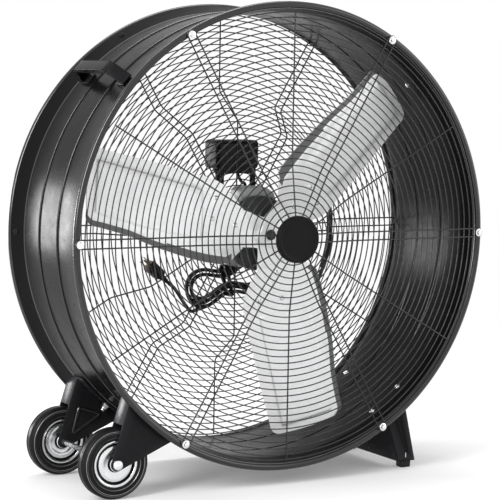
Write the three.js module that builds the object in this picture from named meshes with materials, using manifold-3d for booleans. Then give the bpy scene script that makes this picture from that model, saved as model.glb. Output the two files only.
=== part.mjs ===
// A 36-inch two-wheeled drum fan: a steel drum between two wire guards, with three stamped blades on a
// direct-drive motor, two bar handles, a wheel bracket at each left corner and one folded leg on the right.
// Millimetres, +Z up, the air leaves the front guard towards -Y, the ground is z = 0.
import * as THREE from "three";
import { mergeVertices } from "three/addons/utils/BufferGeometryUtils.js";
import Module from "manifold-3d";

const wasm = await Module();
wasm.setup();

// ---- driving sizes --------------------------------------------------------------------------------------
const GAP = 0.3;
const AXIS_Z = 533;
const DRUM_R = 480;
const SHEET = 1.6;
const DRUM_SEGMENTS = 48;
const FLARE_Y = 128;
const ROLL_R = 7.5;
const ROLL_CENTRE_R = 492.5;
const ROLL_Y = 170;
const BEAD_Y = 47;
const BEAD_HEIGHT = 3;

const WIRE = 2.6;
const GUARD_OUTER_R = 477;
const PAIR_HALF = 9;
const SPOKE_STEP = 30;

const SCREW_R = 489;
const CAP_R = 50;
const CAP_DEPTH = 14;
const CAP_FACE_Y = -215;

const REAR_PLANE_Y = 150;
const DISH_OUTER_R = 307;
const DISH_INNER_R = 240;
const DISH_Y = 62;

const MOTOR_R = 80;
const PLATE_R = 78;
const MOTOR_FRONT_Y = -60;
const BELL_DEPTH = 24;
const SHAFT_R = 8;
const ROTOR_Y = -86;
const BLADE_ANGLE = 48;
const BLADE_PITCH = (18 * Math.PI) / 180;
const BLADE_ROOT_R = 66;
const TIP_GAP = 46;
const BLADE_TIP_R = DRUM_R - TIP_GAP;
const BLADE_SHEET = 2;
const ARM_SHEET = 2.4;

const WHEEL_X = -390;
const WHEEL_R = 74.5;
const TYRE_WIDTH = 38;
const WHEEL_Y = 135;
const AXLE_R = 6;
const BRACKET_SHEET = 2.5;

const HANDLE_ANGLE = 137;
const HANDLE_R = 526;
const HANDLE_WIDTH = 27;

const CORD_D = 8;
const BOX = { x0: -50, x1: 57, z0: 134, z1: 198, depth: 53 };

// ---- helpers --------------------------------------------------------------------------------------------
const group = new THREE.Group();
group.name = "drum_fan";
const rad = (degrees) => (degrees * Math.PI) / 180;
const polar = (r, degrees) => [r * Math.cos(rad(degrees)), r * Math.sin(rad(degrees))];

function bare(geometry) {
  const flat = geometry.index ? geometry.toNonIndexed() : geometry;
  const made = new THREE.BufferGeometry();
  made.setAttribute("position", flat.getAttribute("position"));
  return mergeVertices(made, 1e-3);
}

function solid(geometry) {
  const merged = bare(geometry);
  const mesh = new wasm.Mesh({
    numProp: 3,
    vertProperties: new Float32Array(merged.attributes.position.array),
    triVerts: new Uint32Array(merged.index.array),
  });
  return new wasm.Manifold(mesh);
}

function geometryOf(made) {
  const mesh = made.getMesh();
  const geometry = new THREE.BufferGeometry();
  geometry.setAttribute("position", new THREE.BufferAttribute(new Float32Array(mesh.vertProperties), 3));
  geometry.setIndex(new THREE.BufferAttribute(new Uint32Array(mesh.triVerts), 1));
  return geometry;
}

// The same piece on the other side of the middle of the drum's depth.
function mirrored(geometry) {
  const order = geometry.index.array;
  for (let i = 0; i < order.length; i += 3) [order[i], order[i + 1]] = [order[i + 1], order[i]];
  return geometry.scale(1, -1, 1);
}

const join = (parts) => geometryOf(parts.map(solid).reduce((a, b) => a.add(b)));
const cut = (base, tools) => geometryOf(tools.map(solid).reduce((a, b) => a.subtract(b), solid(base)));

const finishes = {
  blackPaint: { color: 0x17181a, roughness: 0.45, metalness: 0.3 },
  wire: { color: 0x111213, roughness: 0.4, metalness: 0.3 },
  chrome: { color: 0xd5d7da, roughness: 0.2, metalness: 1 },
  aluminium: { color: 0xc9cbcc, roughness: 0.4, metalness: 0.8 },
  zinc: { color: 0xb9bdc0, roughness: 0.35, metalness: 0.9 },
  motorPaint: { color: 0x55585a, roughness: 0.5, metalness: 0.4 },
  castMotor: { color: 0x2a2c2e, roughness: 0.55, metalness: 0.4 },
  plastic: { color: 0x121314, roughness: 0.5, metalness: 0 },
  rubber: { color: 0x1b1c1d, roughness: 0.8, metalness: 0 },
  brass: { color: 0xc8a860, roughness: 0.3, metalness: 1 },
};

// Every piece is drawn about the drum's axis; this puts it at its height over the ground.
function place(name, geometry, finish) {
  geometry.translate(0, 0, AXIS_Z);
  geometry.computeVertexNormals();
  const mesh = new THREE.Mesh(geometry, new THREE.MeshStandardMaterial(finishes[finish]));
  mesh.name = name;
  group.add(mesh);
}

// A profile of [radius, y] points turned about the drum's axis.
function turned(profile, segments) {
  const points = profile.map(([r, y]) => new THREE.Vector2(r, y));
  return new THREE.LatheGeometry(points, segments);
}

// An outline in x and z, made thick from y = back to y = front (front < back).
function slab(outline, back, front) {
  const shape = new THREE.Shape(outline.map(([x, z]) => new THREE.Vector2(x, z)));
  const geometry = new THREE.ExtrudeGeometry(shape, { depth: back - front, bevelEnabled: false });
  geometry.rotateX(Math.PI / 2);
  geometry.translate(0, back, 0);
  return geometry;
}

function block(x0, x1, y0, y1, z0, z1) {
  const geometry = new THREE.BoxGeometry(x1 - x0, y1 - y0, z1 - z0);
  geometry.translate((x0 + x1) / 2, (y0 + y1) / 2, (z0 + z1) / 2);
  return geometry;
}

// Turns a piece that was drawn standing on +Y out along the radius at an angle, at a distance along the axis.
function standOut(geometry, radius, degrees, y) {
  geometry.rotateZ(-Math.PI / 2);
  geometry.translate(radius, y, 0);
  geometry.rotateY(-rad(degrees));
  return geometry;
}

// ---- drum -----------------------------------------------------------------------------------------------
function rollPoints(side) {
  const points = [];
  for (let i = 0; i < 6; i += 1) {
    const a = rad(60 - 64 * i);
    points.push([ROLL_CENTRE_R + ROLL_R * Math.cos(a), side * (-ROLL_Y + ROLL_R * Math.sin(a))]);
  }
  return points;
}

// How far the drum's inner face is from the axis at an angle, between the facets' corners.
function drumInside(angle) {
  const half = 180 / DRUM_SEGMENTS;
  const offFacet = (((angle % (2 * half)) + 2 * half) % (2 * half)) - half;
  return ((DRUM_R - SHEET) * Math.cos(rad(half))) / Math.cos(rad(offFacet));
}

function beadPoints(y) {
  return [
    [DRUM_R, y - 4],
    [DRUM_R + BEAD_HEIGHT, y],
    [DRUM_R, y + 4],
  ];
}

function drumShell() {
  const profile = [
    ...rollPoints(1).reverse(),
    [DRUM_R, -FLARE_Y],
    ...beadPoints(-BEAD_Y),
    ...beadPoints(BEAD_Y),
    [DRUM_R, FLARE_Y],
    ...rollPoints(-1),
    [DRUM_R - SHEET, FLARE_Y],
    [DRUM_R - SHEET, -FLARE_Y],
  ];
  profile.push(profile[0]);
  return turned(profile, DRUM_SEGMENTS);
}

// Half the drum's radius profile as a plain outer form, a little larger than the drum, to trim brackets with.
function drumForm(clearance) {
  const r = DRUM_R + clearance;
  const flare = ROLL_CENTRE_R + ROLL_R * Math.cos(rad(60)) + clearance;
  const flareY = ROLL_Y - ROLL_R * Math.sin(rad(60));
  return turned(
    [
      [0, -ROLL_Y - 30],
      [ROLL_CENTRE_R + ROLL_R + clearance, -ROLL_Y - 30],
      [ROLL_CENTRE_R + ROLL_R + clearance, -flareY + 3],
      [flare, -flareY + 2],
      [r, -FLARE_Y],
      ...[-BEAD_Y, BEAD_Y].flatMap((y) => [[r, y - 6], [r + BEAD_HEIGHT, y - 2], [r + BEAD_HEIGHT, y + 2], [r, y + 6]]),
      [r, FLARE_Y],
      [flare, flareY - 2],
      [ROLL_CENTRE_R + ROLL_R + clearance, flareY - 3],
      [ROLL_CENTRE_R + ROLL_R + clearance, ROLL_Y + 30],
      [0, ROLL_Y + 30],
    ],
    DRUM_SEGMENTS,
  );
}

// ---- guards ---------------------------------------------------------------------------------------------
// Straight wires run out from the centre: a pair every 60 degrees, with a single wire halfway between pairs.
function spokes() {
  const made = [];
  for (let angle = 0; angle < 360; angle += SPOKE_STEP) {
    const offsets = angle % 60 === 0 ? [-PAIR_HALF, PAIR_HALF] : [0];
    offsets.forEach((offset) => made.push({ angle, offset }));
  }
  return made;
}

function arc(from, to, radius, steps) {
  const points = [];
  for (let i = 0; i <= steps; i += 1) {
    const a = from + ((to - from) * i) / steps;
    points.push([radius * Math.cos(a), radius * Math.sin(a)]);
  }
  return points;
}

const edgeAngle = (spoke, side, radius) =>
  rad(spoke.angle) + Math.asin((spoke.offset + (side * WIRE) / 2) / radius);

// The opening between two neighbouring spokes and two neighbouring rings.
function cell(a, b, inner, outer, steps) {
  const r0 = inner + WIRE / 2;
  const r1 = outer - WIRE / 2;
  const near = arc(edgeAngle(a, 1, r0), edgeAngle(b, -1, r0), r0, steps(inner));
  const far = arc(edgeAngle(a, 1, r1), edgeAngle(b, -1, r1), r1, steps(outer));
  return [...near, ...far.reverse()];
}

const steps = (spoke, radius) => {
  if (spoke.offset < 0) return 1;
  return radius > 450 ? 3 : 2;
};

// The outer edge of a guard's flat part: round, with a loop past it in which each pair of wires ends.
function outerEdge(rim, loopEnd) {
  const out = PAIR_HALF + WIRE / 2;
  const all = spokes();
  return all.flatMap((spoke, i) => {
    if (spoke.offset < 0) {
      return [[rim, -out], [loopEnd, -out], [loopEnd, out], [rim, out]].map(([r, side]) =>
        polar(r, spoke.angle + (Math.asin(side / r) * 180) / Math.PI),
      );
    }
    const next = all[(i + 1) % all.length];
    const turn = i + 1 === all.length ? 2 * Math.PI : 0;
    const points = arc(edgeAngle(spoke, 1, rim), edgeAngle(next, -1, rim) + turn, rim, 3);
    if (spoke.offset > 0) points.shift();
    if (next.offset < 0) points.pop();
    return points;
  });
}

const ringEdge = (radius, count) => arc(0, 2 * Math.PI, radius, count).slice(0, -1);

// Rings and spokes in one plane at a height y. Past the last ring of a guard come its wire loops.
function lattice(rings, y, loopEnd = 0) {
  const half = WIRE / 2;
  const rim = rings[rings.length - 1] + half;
  const all = spokes();
  const contour = loopEnd ? outerEdge(rim, loopEnd) : ringEdge(rim, 36);
  const openings = [ringEdge(rings[0] - half, rings[0] > 200 ? 36 : 18)];
  for (let k = 0; k + 1 < rings.length; k += 1) {
    all.forEach((spoke, i) => {
      const next = { ...all[(i + 1) % all.length] };
      if (i + 1 === all.length) next.angle += 360;
      openings.push(cell(spoke, next, rings[k], rings[k + 1], (radius) => steps(spoke, radius)));
    });
  }
  for (let angle = 0; loopEnd && angle < 360; angle += 60) {
    const reach = PAIR_HALF - half;
    const loop = [[rim, -reach], [loopEnd - WIRE, -reach], [loopEnd - WIRE, reach], [rim, reach]];
    openings.push(loop.map(([r, side]) => polar(r, angle + (Math.asin(side / r) * 180) / Math.PI)));
  }
  const geometry = cut(slab(contour, half, -half), openings.map((outline) => slab(outline, WIRE, -WIRE)));
  return geometry.translate(0, y, 0);
}

// The slanting stretches of the spokes, from one ring and height to another.
function slants([r0, y0], [r1, y1]) {
  const rise = Math.atan2(y1 - y0, r1 - r0);
  const half = WIRE / 2 / Math.cos(rise);
  return spokes().map(({ angle, offset }) => {
    const p0 = Math.sqrt(r0 * r0 - offset * offset);
    const p1 = Math.sqrt(r1 * r1 - offset * offset);
    const outline = [[p0, y0 - half], [p1, y1 - half], [p1, y1 + half], [p0, y0 + half]];
    const shape = new THREE.Shape(outline.map(([r, y]) => new THREE.Vector2(r, y)));
    const geometry = new THREE.ExtrudeGeometry(shape, { depth: WIRE, bevelEnabled: false });
    geometry.translate(0, 0, offset - WIRE / 2);
    return geometry.rotateY(-rad(angle));
  });
}

const FRONT_PLANE_Y = -(ROLL_Y + ROLL_R + GAP + WIRE / 2);
const HUB_PLANE_Y = CAP_FACE_Y + CAP_DEPTH + GAP + WIRE / 2;
const DOME = { r0: 40, r1: 164 };

// The front guard is flat, with its middle domed forwards to the hub cap.
function frontGuard() {
  const middle = (DOME.r0 + DOME.r1) / 2;
  return join([
    lattice([DOME.r0], HUB_PLANE_Y),
    lattice([middle], (HUB_PLANE_Y + FRONT_PLANE_Y) / 2),
    lattice([DOME.r1, 242, 320, 398, GUARD_OUTER_R], FRONT_PLANE_Y, SCREW_R + 7),
    ...slants([DOME.r0, HUB_PLANE_Y], [DOME.r1, FRONT_PLANE_Y]),
  ]);
}

// The rear guard steps forwards to a flat dish, on which the motor is bolted.
function rearGuard() {
  return join([
    lattice([PLATE_R - 4, 135, DISH_INNER_R], DISH_Y),
    lattice([DISH_OUTER_R, 392, GUARD_OUTER_R], REAR_PLANE_Y, DRUM_R + 5.2),
    ...slants([DISH_INNER_R, DISH_Y], [DISH_OUTER_R, REAR_PLANE_Y]),
  ]);
}

function hubCap() {
  const back = CAP_FACE_Y + CAP_DEPTH;
  return turned(
    [
      [0, CAP_FACE_Y + 2],
      [CAP_R - 8, CAP_FACE_Y + 2],
      [CAP_R - 6, CAP_FACE_Y],
      [CAP_R - 3, CAP_FACE_Y],
      [CAP_R, CAP_FACE_Y + 3],
      [CAP_R, back],
      [0, back],
    ],
    24,
  );
}

// A pan-head screw on its washer, head towards -Y, with its shank through the wire loop.
function frontScrew(angle) {
  const seat = FRONT_PLANE_Y - WIRE / 2 - GAP;
  const geometry = turned(
    [
      [0, seat - 6],
      [5.2, seat - 4],
      [5.6, seat - 1.4],
      [9.6, seat - 1.4],
      [9.6, seat],
      [2.6, seat],
      [2.6, -(ROLL_Y + ROLL_R + GAP)],
      [0, -(ROLL_Y + ROLL_R + GAP)],
    ],
    8,
  );
  const [x, z] = polar(SCREW_R, angle);
  geometry.translate(x, 0, z);
  return geometry;
}

// A button-head screw on the outside of the rear flare, which holds the rear guard.
function rearScrew(angle) {
  const flareEndR = ROLL_CENTRE_R + ROLL_R * Math.cos(rad(60));
  const flareEndY = ROLL_Y - ROLL_R * Math.sin(rad(60));
  const slope = Math.atan2(flareEndR - DRUM_R, flareEndY - FLARE_Y);
  const radius = DRUM_R + (REAR_PLANE_Y - FLARE_Y) * Math.tan(slope);
  const geometry = turned([[0, 0.4], [6, 0.4], [6, 1.6], [3.6, 3.4], [0, 3.8]], 8);
  geometry.rotateZ(-Math.PI / 2 - slope);
  geometry.translate(radius, REAR_PLANE_Y, 0);
  geometry.rotateY(-rad(angle));
  return geometry;
}

// ---- motor and its plates -------------------------------------------------------------------------------
const BELL_BACK = MOTOR_FRONT_Y + BELL_DEPTH;
const PLATE_FRONT = DISH_Y - WIRE / 2 - GAP;
const MOTOR_BACK = PLATE_FRONT - 3 - GAP;
const REAR_PLATE_Y = DISH_Y + WIRE / 2 + GAP;

function motorFrontBell() {
  return turned(
    [
      [SHAFT_R + 0.4, MOTOR_FRONT_Y - 4],
      [22, MOTOR_FRONT_Y - 4],
      [24, MOTOR_FRONT_Y + 1],
      [58, MOTOR_FRONT_Y + 5],
      [MOTOR_R + 2, MOTOR_FRONT_Y + 15],
      [MOTOR_R + 2, BELL_BACK],
      [SHAFT_R + 6, BELL_BACK],
      [SHAFT_R + 6, MOTOR_FRONT_Y + 14],
      [SHAFT_R + 0.4, MOTOR_FRONT_Y + 14],
      [SHAFT_R + 0.4, MOTOR_FRONT_Y - 4],
    ],
    20,
  );
}

function motorBody() {
  return turned(
    [
      [0, BELL_BACK + GAP],
      [MOTOR_R, BELL_BACK + GAP],
      [MOTOR_R, MOTOR_BACK - 22],
      [MOTOR_R + 2, MOTOR_BACK - 22],
      [MOTOR_R + 2, MOTOR_BACK - 10],
      [MOTOR_R - 14, MOTOR_BACK],
      [0, MOTOR_BACK],
    ],
    24,
  );
}

function motorPlate() {
  return turned([[0, PLATE_FRONT - 3], [PLATE_R, PLATE_FRONT - 3], [PLATE_R, PLATE_FRONT], [0, PLATE_FRONT]], 24);
}

// Behind the guard: a round clamp plate with four nuts, and the upright that carries the switch box.
function rearPlate() {
  const parts = [
    turned([[0, REAR_PLATE_Y], [PLATE_R, REAR_PLATE_Y], [PLATE_R, REAR_PLATE_Y + 3], [0, REAR_PLATE_Y + 3]], 24),
    block(BOX.x0 + 8, BOX.x1 - 8, REAR_PLATE_Y, REAR_PLATE_Y + 3, BOX.z0 - 10, BOX.z1 - 8),
    block(BOX.x0 + 8, BOX.x0 + 30, REAR_PLATE_Y, REAR_PLATE_Y + 3, 60, BOX.z0),
    block(BOX.x1 - 30, BOX.x1 - 8, REAR_PLATE_Y, REAR_PLATE_Y + 3, 60, BOX.z0),
  ];
  for (let angle = 45; angle < 360; angle += 90) {
    const nut = new THREE.CylinderGeometry(7, 7, 9, 6);
    const [x, z] = polar(50, angle);
    nut.translate(x, REAR_PLATE_Y + 6, z);
    parts.push(nut);
  }
  return join(parts);
}

const BOX_FRONT_Y = REAR_PLATE_Y + 3 + GAP;
const BOX_BACK_Y = BOX_FRONT_Y + BOX.depth;

function boxOutline(inset) {
  const c = 9;
  const x0 = BOX.x0 + inset;
  const x1 = BOX.x1 - inset;
  const z0 = BOX.z0 + inset;
  const z1 = BOX.z1 - inset;
  return [
    [x0 + c, z0],
    [x1 - c, z0],
    [x1, z0 + c],
    [x1, z1 - c],
    [x1 - c, z1],
    [x0 + c, z1],
    [x0, z1 - c],
    [x0, z0 + c],
  ];
}

const KNOB = { x: 3, z: 166, r: 17 };

function speedKnob() {
  const y = BOX_BACK_Y + GAP + 2.5 + GAP;
  const dial = turned([[0, y], [KNOB.r, y], [KNOB.r - 2, y + 7], [KNOB.r - 3, y + 7], [0, y + 7]], 24);
  const grip = slab([[-3.5, -KNOB.r + 4], [3.5, -KNOB.r + 4], [3.5, KNOB.r - 4], [0, KNOB.r - 2], [-3.5, KNOB.r - 4]],
    y + 17, y + 6);
  const geometry = join([dial, grip]);
  geometry.translate(KNOB.x, 0, KNOB.z);
  return geometry;
}

// ---- rotor ----------------------------------------------------------------------------------------------
// The blade's middle surface: u runs out along the blade, s across it, positive to the front edge, and a
// positive lift goes to the rear.
function bladePoint(u, s, lift) {
  const across = s * Math.cos(BLADE_PITCH) + lift * Math.sin(BLADE_PITCH);
  const ahead = s * Math.sin(BLADE_PITCH) - lift * Math.cos(BLADE_PITCH);
  const t = rad(BLADE_ANGLE);
  return [
    u * Math.cos(t) - across * Math.sin(t),
    ROTOR_Y - ahead,
    u * Math.sin(t) + across * Math.cos(t),
  ];
}

// A closed sheet from rows of points on the blade's surface.
function sheet(rows, thickness) {
  const across = rows[0].length;
  const top = rows.map((row) => row.map(([u, s, h]) => bladePoint(u, s, h + thickness / 2)));
  const under = rows.map((row) => row.map(([u, s, h]) => bladePoint(u, s, h - thickness / 2)));
  const positions = [];
  const quad = (a, b, c, d) => positions.push(...a, ...c, ...b, ...a, ...d, ...c);
  for (let i = 0; i + 1 < rows.length; i += 1) {
    for (let j = 0; j + 1 < across; j += 1) {
      quad(top[i][j], top[i + 1][j], top[i + 1][j + 1], top[i][j + 1]);
      quad(under[i][j], under[i][j + 1], under[i + 1][j + 1], under[i + 1][j]);
    }
    quad(top[i][0], under[i][0], under[i + 1][0], top[i + 1][0]);
    quad(top[i + 1][across - 1], under[i + 1][across - 1], under[i][across - 1], top[i][across - 1]);
  }
  const last = rows.length - 1;
  for (let j = 0; j + 1 < across; j += 1) {
    quad(top[0][j + 1], under[0][j + 1], under[0][j], top[0][j]);
    quad(top[last][j], under[last][j], under[last][j + 1], top[last][j + 1]);
  }
  const geometry = new THREE.BufferGeometry();
  geometry.setAttribute("position", new THREE.Float32BufferAttribute(positions, 3));
  return geometry;
}

// Front edge, back edge, flange and panel at stations from the blade's root (0) to its tip (1).
const bladeStations = [
  { at: 0, front: 44, back: -42, flange: 0, panel: 0 },
  { at: 0.075, front: 76, back: -68, flange: 0, panel: 0 },
  { at: 0.125, front: 84, back: -84, flange: 1, panel: 0 },
  { at: 0.225, front: 86, back: -98, flange: 1, panel: 0 },
  { at: 0.335, front: 85, back: -100, flange: 1, panel: 1 },
  { at: 0.56, front: 78, back: -103, flange: 1, panel: 1 },
  { at: 0.75, front: 65, back: -105, flange: 1, panel: 1 },
  { at: 0.94, front: 61, back: -106, flange: 1, panel: 1 },
  { at: 1, front: 52, back: -97, flange: 1, panel: 0 },
];
const FLANGE = { width: 11, drop: 8 };
const PANEL = { margin: 24, frontMargin: 30, slope: 9, rise: 4 };

// One stamped blade: a flange along its front edge turned to the rear, and a panel raised to the front.
function blade(index) {
  const tip = bladeStations.length - 1;
  const rows = bladeStations.map(({ at, front, back, flange, panel }, i) => {
    const u = BLADE_ROOT_R + at * (BLADE_TIP_R - BLADE_ROOT_R);
    const middleU = u + (i === tip ? 6 : 0);
    const rise = -PANEL.rise * panel;
    return [
      [u, back, 0],
      [u, back + PANEL.margin, 0],
      [middleU, back + PANEL.margin + PANEL.slope, rise],
      [middleU, front - PANEL.frontMargin - PANEL.slope, rise],
      [u, front - PANEL.frontMargin, 0],
      [u, front - FLANGE.width, 0],
      [u, front, FLANGE.drop * flange],
    ];
  });
  const geometry = sheet(rows, BLADE_SHEET);
  geometry.rotateY(rad(120 * index));
  return geometry;
}

// The hub plate: a boss on the shaft and an arm behind each blade, to which the blade is riveted.
function hubSpider() {
  const lift = BLADE_SHEET / 2 + GAP + ARM_SHEET / 2;
  const arm = [
    [20, 24, -28],
    [60, 30, -36],
    [110, 38, -64],
    [165, 24, -68],
  ].map(([u, front, back]) => [[u, back, lift], [u, (front + back) / 2, lift], [u, front, lift]]);
  const parts = [turned([[0, ROTOR_Y - 8], [27, ROTOR_Y - 8], [27, -70], [SHAFT_R, -70], [SHAFT_R, -52], [0, -52]], 24)];
  for (let i = 0; i < 3; i += 1) {
    const made = sheet(arm, ARM_SHEET);
    made.rotateY(rad(120 * i));
    parts.push(made);
  }
  return join(parts);
}

function shaftNut() {
  const y = ROTOR_Y - 8 - GAP;
  return turned([[0, y - 9], [8, y - 9], [11.5, y - 7], [11.5, y], [0, y]], 12);
}

// ---- handles --------------------------------------------------------------------------------------------
// A bent strip over the drum, along its axis, with its feet turned in under the grip.
function handle(angle) {
  const seat = DRUM_R - 1;
  const t = 4.4;
  const half = [[70, seat], [108, seat], [111, seat + 4], [103, seat + 20], [72, HANDLE_R]];
  const inner = [[68, HANDLE_R - 3], [98, seat + 20], [104, seat + 7], [102, seat + t], [70, seat + t]];
  const outline = [
    ...half,
    ...half.slice(4).map(([y, r]) => [-y, r]),
    ...half.slice(0, 4).reverse().map(([y, r]) => [-y, r]),
    ...inner.slice().reverse().map(([y, r]) => [-y, r]),
    ...inner,
  ];
  const shape = new THREE.Shape(outline.map(([y, r]) => new THREE.Vector2(y, r)));
  const geometry = new THREE.ExtrudeGeometry(shape, { depth: HANDLE_WIDTH, bevelEnabled: false });
  geometry.translate(0, 0, -HANDLE_WIDTH / 2);
  const turn = new THREE.Matrix4().makeBasis(
    new THREE.Vector3(0, 1, 0),
    new THREE.Vector3(1, 0, 0),
    new THREE.Vector3(0, 0, -1),
  );
  geometry.applyMatrix4(turn);
  geometry.rotateY(-rad(angle));
  const r = DRUM_R + 0.4;
  return cut(geometry, [turned([[0, -160], [r, -160], [r, 160], [0, 160]], DRUM_SEGMENTS)]);
}

// The head of a bolt inside the drum, under the foot of a handle or a leg.
function insideBolt(angle, y) {
  const geometry = turned([[0, 0], [3.6, 0.6], [6.2, 3], [6.2, 4.4], [0, 4.4]], 8);
  return standOut(geometry, drumInside(angle) - 4.4 - 0.5, angle, y);
}

// ---- wheels ---------------------------------------------------------------------------------------------
const WHEEL_Z = WHEEL_R - AXIS_Z;

function tyre(y) {
  const w = TYRE_WIDTH / 2;
  const inner = 49;
  const profile = [
    [inner, -w + 3],
    [WHEEL_R - 16, -w],
    [WHEEL_R - 4, -w + 3],
    [WHEEL_R, -w + 9],
    [WHEEL_R, w - 9],
    [WHEEL_R - 4, w - 3],
    [WHEEL_R - 16, w],
    [inner, w - 3],
    [inner, -w + 3],
  ];
  const geometry = turned(profile, 24);
  geometry.translate(WHEEL_X, y, WHEEL_Z);
  return geometry;
}

function wheelDisc(y) {
  const w = TYRE_WIDTH / 2;
  const rim = 49 - GAP;
  const profile = [
    [AXLE_R + 0.25, -w - 0.5],
    [15, -w - 0.5],
    [17, -w + 7],
    [41, -w + 7],
    [rim, -w + 3],
    [rim, w - 3],
    [41, w - 7],
    [17, w - 7],
    [15, w + 0.5],
    [AXLE_R + 0.25, w + 0.5],
    [AXLE_R + 0.25, -w - 0.5],
  ];
  const geometry = turned(profile, 24);
  geometry.translate(WHEEL_X, y, WHEEL_Z);
  return geometry;
}

function axle() {
  const reach = WHEEL_Y + 28;
  const geometry = turned([[0, -reach], [AXLE_R, -reach], [AXLE_R, reach], [0, reach]], 24);
  geometry.translate(WHEEL_X, 0, WHEEL_Z);
  return geometry;
}

const FORK_INNER = WHEEL_Y - TYRE_WIDTH / 2 - 1.5 - BRACKET_SHEET;
const FORK_OUTER = WHEEL_Y + TYRE_WIDTH / 2 + 1.5 + BRACKET_SHEET;

function axleCap(side) {
  const y = FORK_OUTER + GAP;
  const end = WHEEL_Y + 28 + GAP;
  const geometry = turned(
    [[AXLE_R + 0.3, y], [11, y], [11, y + 4], [8, end + 3], [0, end + 4], [0, end], [AXLE_R + 0.3, end], [AXLE_R + 0.3, y]],
    16,
  );
  if (side < 0) geometry.rotateX(Math.PI);
  geometry.translate(WHEEL_X, 0, WHEEL_Z);
  return geometry;
}

const FORK_LEFT = -138.5;
const FORK_RIGHT = -121;
const WEB_END_Z = -378;

function forkToe(a = 160) {
  const [x, z] = polar(14, a);
  return [WHEEL_X + x, WHEEL_Z + z];
}

// A plate of the wheel bracket: its top meets the drum, its foot is rounded about the axle.
function forkPlate(near, far) {
  const foot = [];
  for (let a = 160; a <= 300; a += 20) foot.push(forkToe(a));
  const outline = [polar(470, FORK_LEFT), ...foot, polar(470, FORK_RIGHT)];
  return slab(outline, far, near);
}

// Both plates, the web that joins them over the tyre, and a curved strap on the drum; open towards the wheel.
function wheelFork(side) {
  const t = BRACKET_SHEET;
  const top = polar(470, FORK_LEFT);
  const toe = forkToe();
  const share = (WEB_END_Z - top[1]) / (toe[1] - top[1]);
  const end = [top[0] + (toe[0] - top[0]) * share, WEB_END_Z];
  const web = slab([top, end, [end[0] + 2.7, end[1]], [top[0] + 2.7, top[1]]], FORK_OUTER, FORK_INNER);
  const strap = [...arc(rad(-139), rad(-120.5), DRUM_R + 3.4, 4), ...arc(rad(-120.5), rad(-139), 470, 4)];
  const parts = [
    forkPlate(FORK_INNER, FORK_INNER + t),
    forkPlate(FORK_OUTER - t, FORK_OUTER),
    web,
    slab(strap, FORK_INNER + t, FORK_INNER - 32),
  ];
  const hole = new THREE.CylinderGeometry(AXLE_R + 0.3, AXLE_R + 0.3, 120, 24);
  hole.translate(WHEEL_X, WHEEL_Y, WHEEL_Z);
  const geometry = cut(join(parts), [drumForm(0.6), hole]);
  return side < 0 ? mirrored(geometry) : geometry;
}

// The bolt that stands out of the bracket's strap.
function forkBolt(side) {
  const geometry = turned([[0, 0], [9, 0], [9, 1.6], [6.5, 1.6], [6.5, 8], [4, 8], [4, 15], [0, 15]], 8);
  return standOut(geometry, DRUM_R + 3.4 + 0.6, -128, side * (FORK_INNER - 14));
}

// ---- leg ------------------------------------------------------------------------------------------------
const LEG_Y = 126;
const LEG_FOOT_Z = -518.2;
const LEG_INNER = { topX: 262, topZ: -330, x: 324 };
const LEG_OUTER = { topX: 325, topZ: -330, x: 369 };

// One folded sheet: a wide web across the drum's depth, a flange at each end turned outwards, straps on the drum.
function legRight() {
  const t = BRACKET_SHEET;
  const a = LEG_INNER;
  const b = LEG_OUTER;
  const flange = [[a.topX, a.topZ], [a.x, LEG_FOOT_Z], [b.x, LEG_FOOT_Z], [b.topX, b.topZ]];
  const web = [[a.topX, a.topZ], [a.x, LEG_FOOT_Z], [a.x + 2.7, LEG_FOOT_Z], [a.topX + 2.7, a.topZ]];
  const strap = [...arc(rad(-60.5), rad(-43.5), DRUM_R + 3.4, 4), ...arc(rad(-43.5), rad(-60.5), 470, 4)];
  const parts = [
    slab(flange, LEG_Y, LEG_Y - t),
    slab(flange, -LEG_Y + t, -LEG_Y),
    slab(web, LEG_Y, -LEG_Y),
    slab(strap, LEG_Y, LEG_Y - 32),
    slab(strap, -LEG_Y + 32, -LEG_Y),
    block(a.x, b.x - 2, LEG_Y - 26, LEG_Y, LEG_FOOT_Z, LEG_FOOT_Z + t),
    block(a.x, b.x - 2, -LEG_Y, -LEG_Y + 26, LEG_FOOT_Z, LEG_FOOT_Z + t),
  ];
  const slot = block(343, 347, -LEG_Y - 5, LEG_Y + 5, LEG_FOOT_Z + 7, LEG_FOOT_Z + 19);
  return cut(join(parts), [drumForm(0.6), slot]);
}

function foot(side) {
  const y0 = LEG_Y - 25;
  const y1 = LEG_Y + 1;
  return block(322, 360, side < 0 ? -y1 : y0, side < 0 ? -y0 : y1, -AXIS_Z, LEG_FOOT_Z - GAP);
}

// ---- cord -----------------------------------------------------------------------------------------------
class Route extends THREE.Curve {
  constructor(points) {
    super();
    this.spline = new THREE.CatmullRomCurve3(points.map((p) => new THREE.Vector3(...p)), false, "centripetal");
  }
  getPoint(t, target) {
    return this.spline.getPoint(t, target);
  }
}

function tube(points, diameter, sides, steps) {
  const circle = new THREE.Shape(
    Array.from({ length: sides }, (_, i) => {
      const a = (2 * Math.PI * (i + 0.5)) / sides;
      return new THREE.Vector2((diameter / 2) * Math.cos(a), (diameter / 2) * Math.sin(a));
    }),
  );
  const extrudePath = new Route(points);
  return new THREE.ExtrudeGeometry(circle, { steps, extrudePath, bevelEnabled: false });
}

const HANK = { x: -15, z: -115, tilt: 13, half: 62, fold: 25, step: 11.2, draw: 17, loops: 4.37, start: 0.75 };
const HANK_Y = REAR_PLATE_Y + 3 + 0.6 + CORD_D / 2;
const LAYER = 9.4;
const PER_LOOP = 24;

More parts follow.
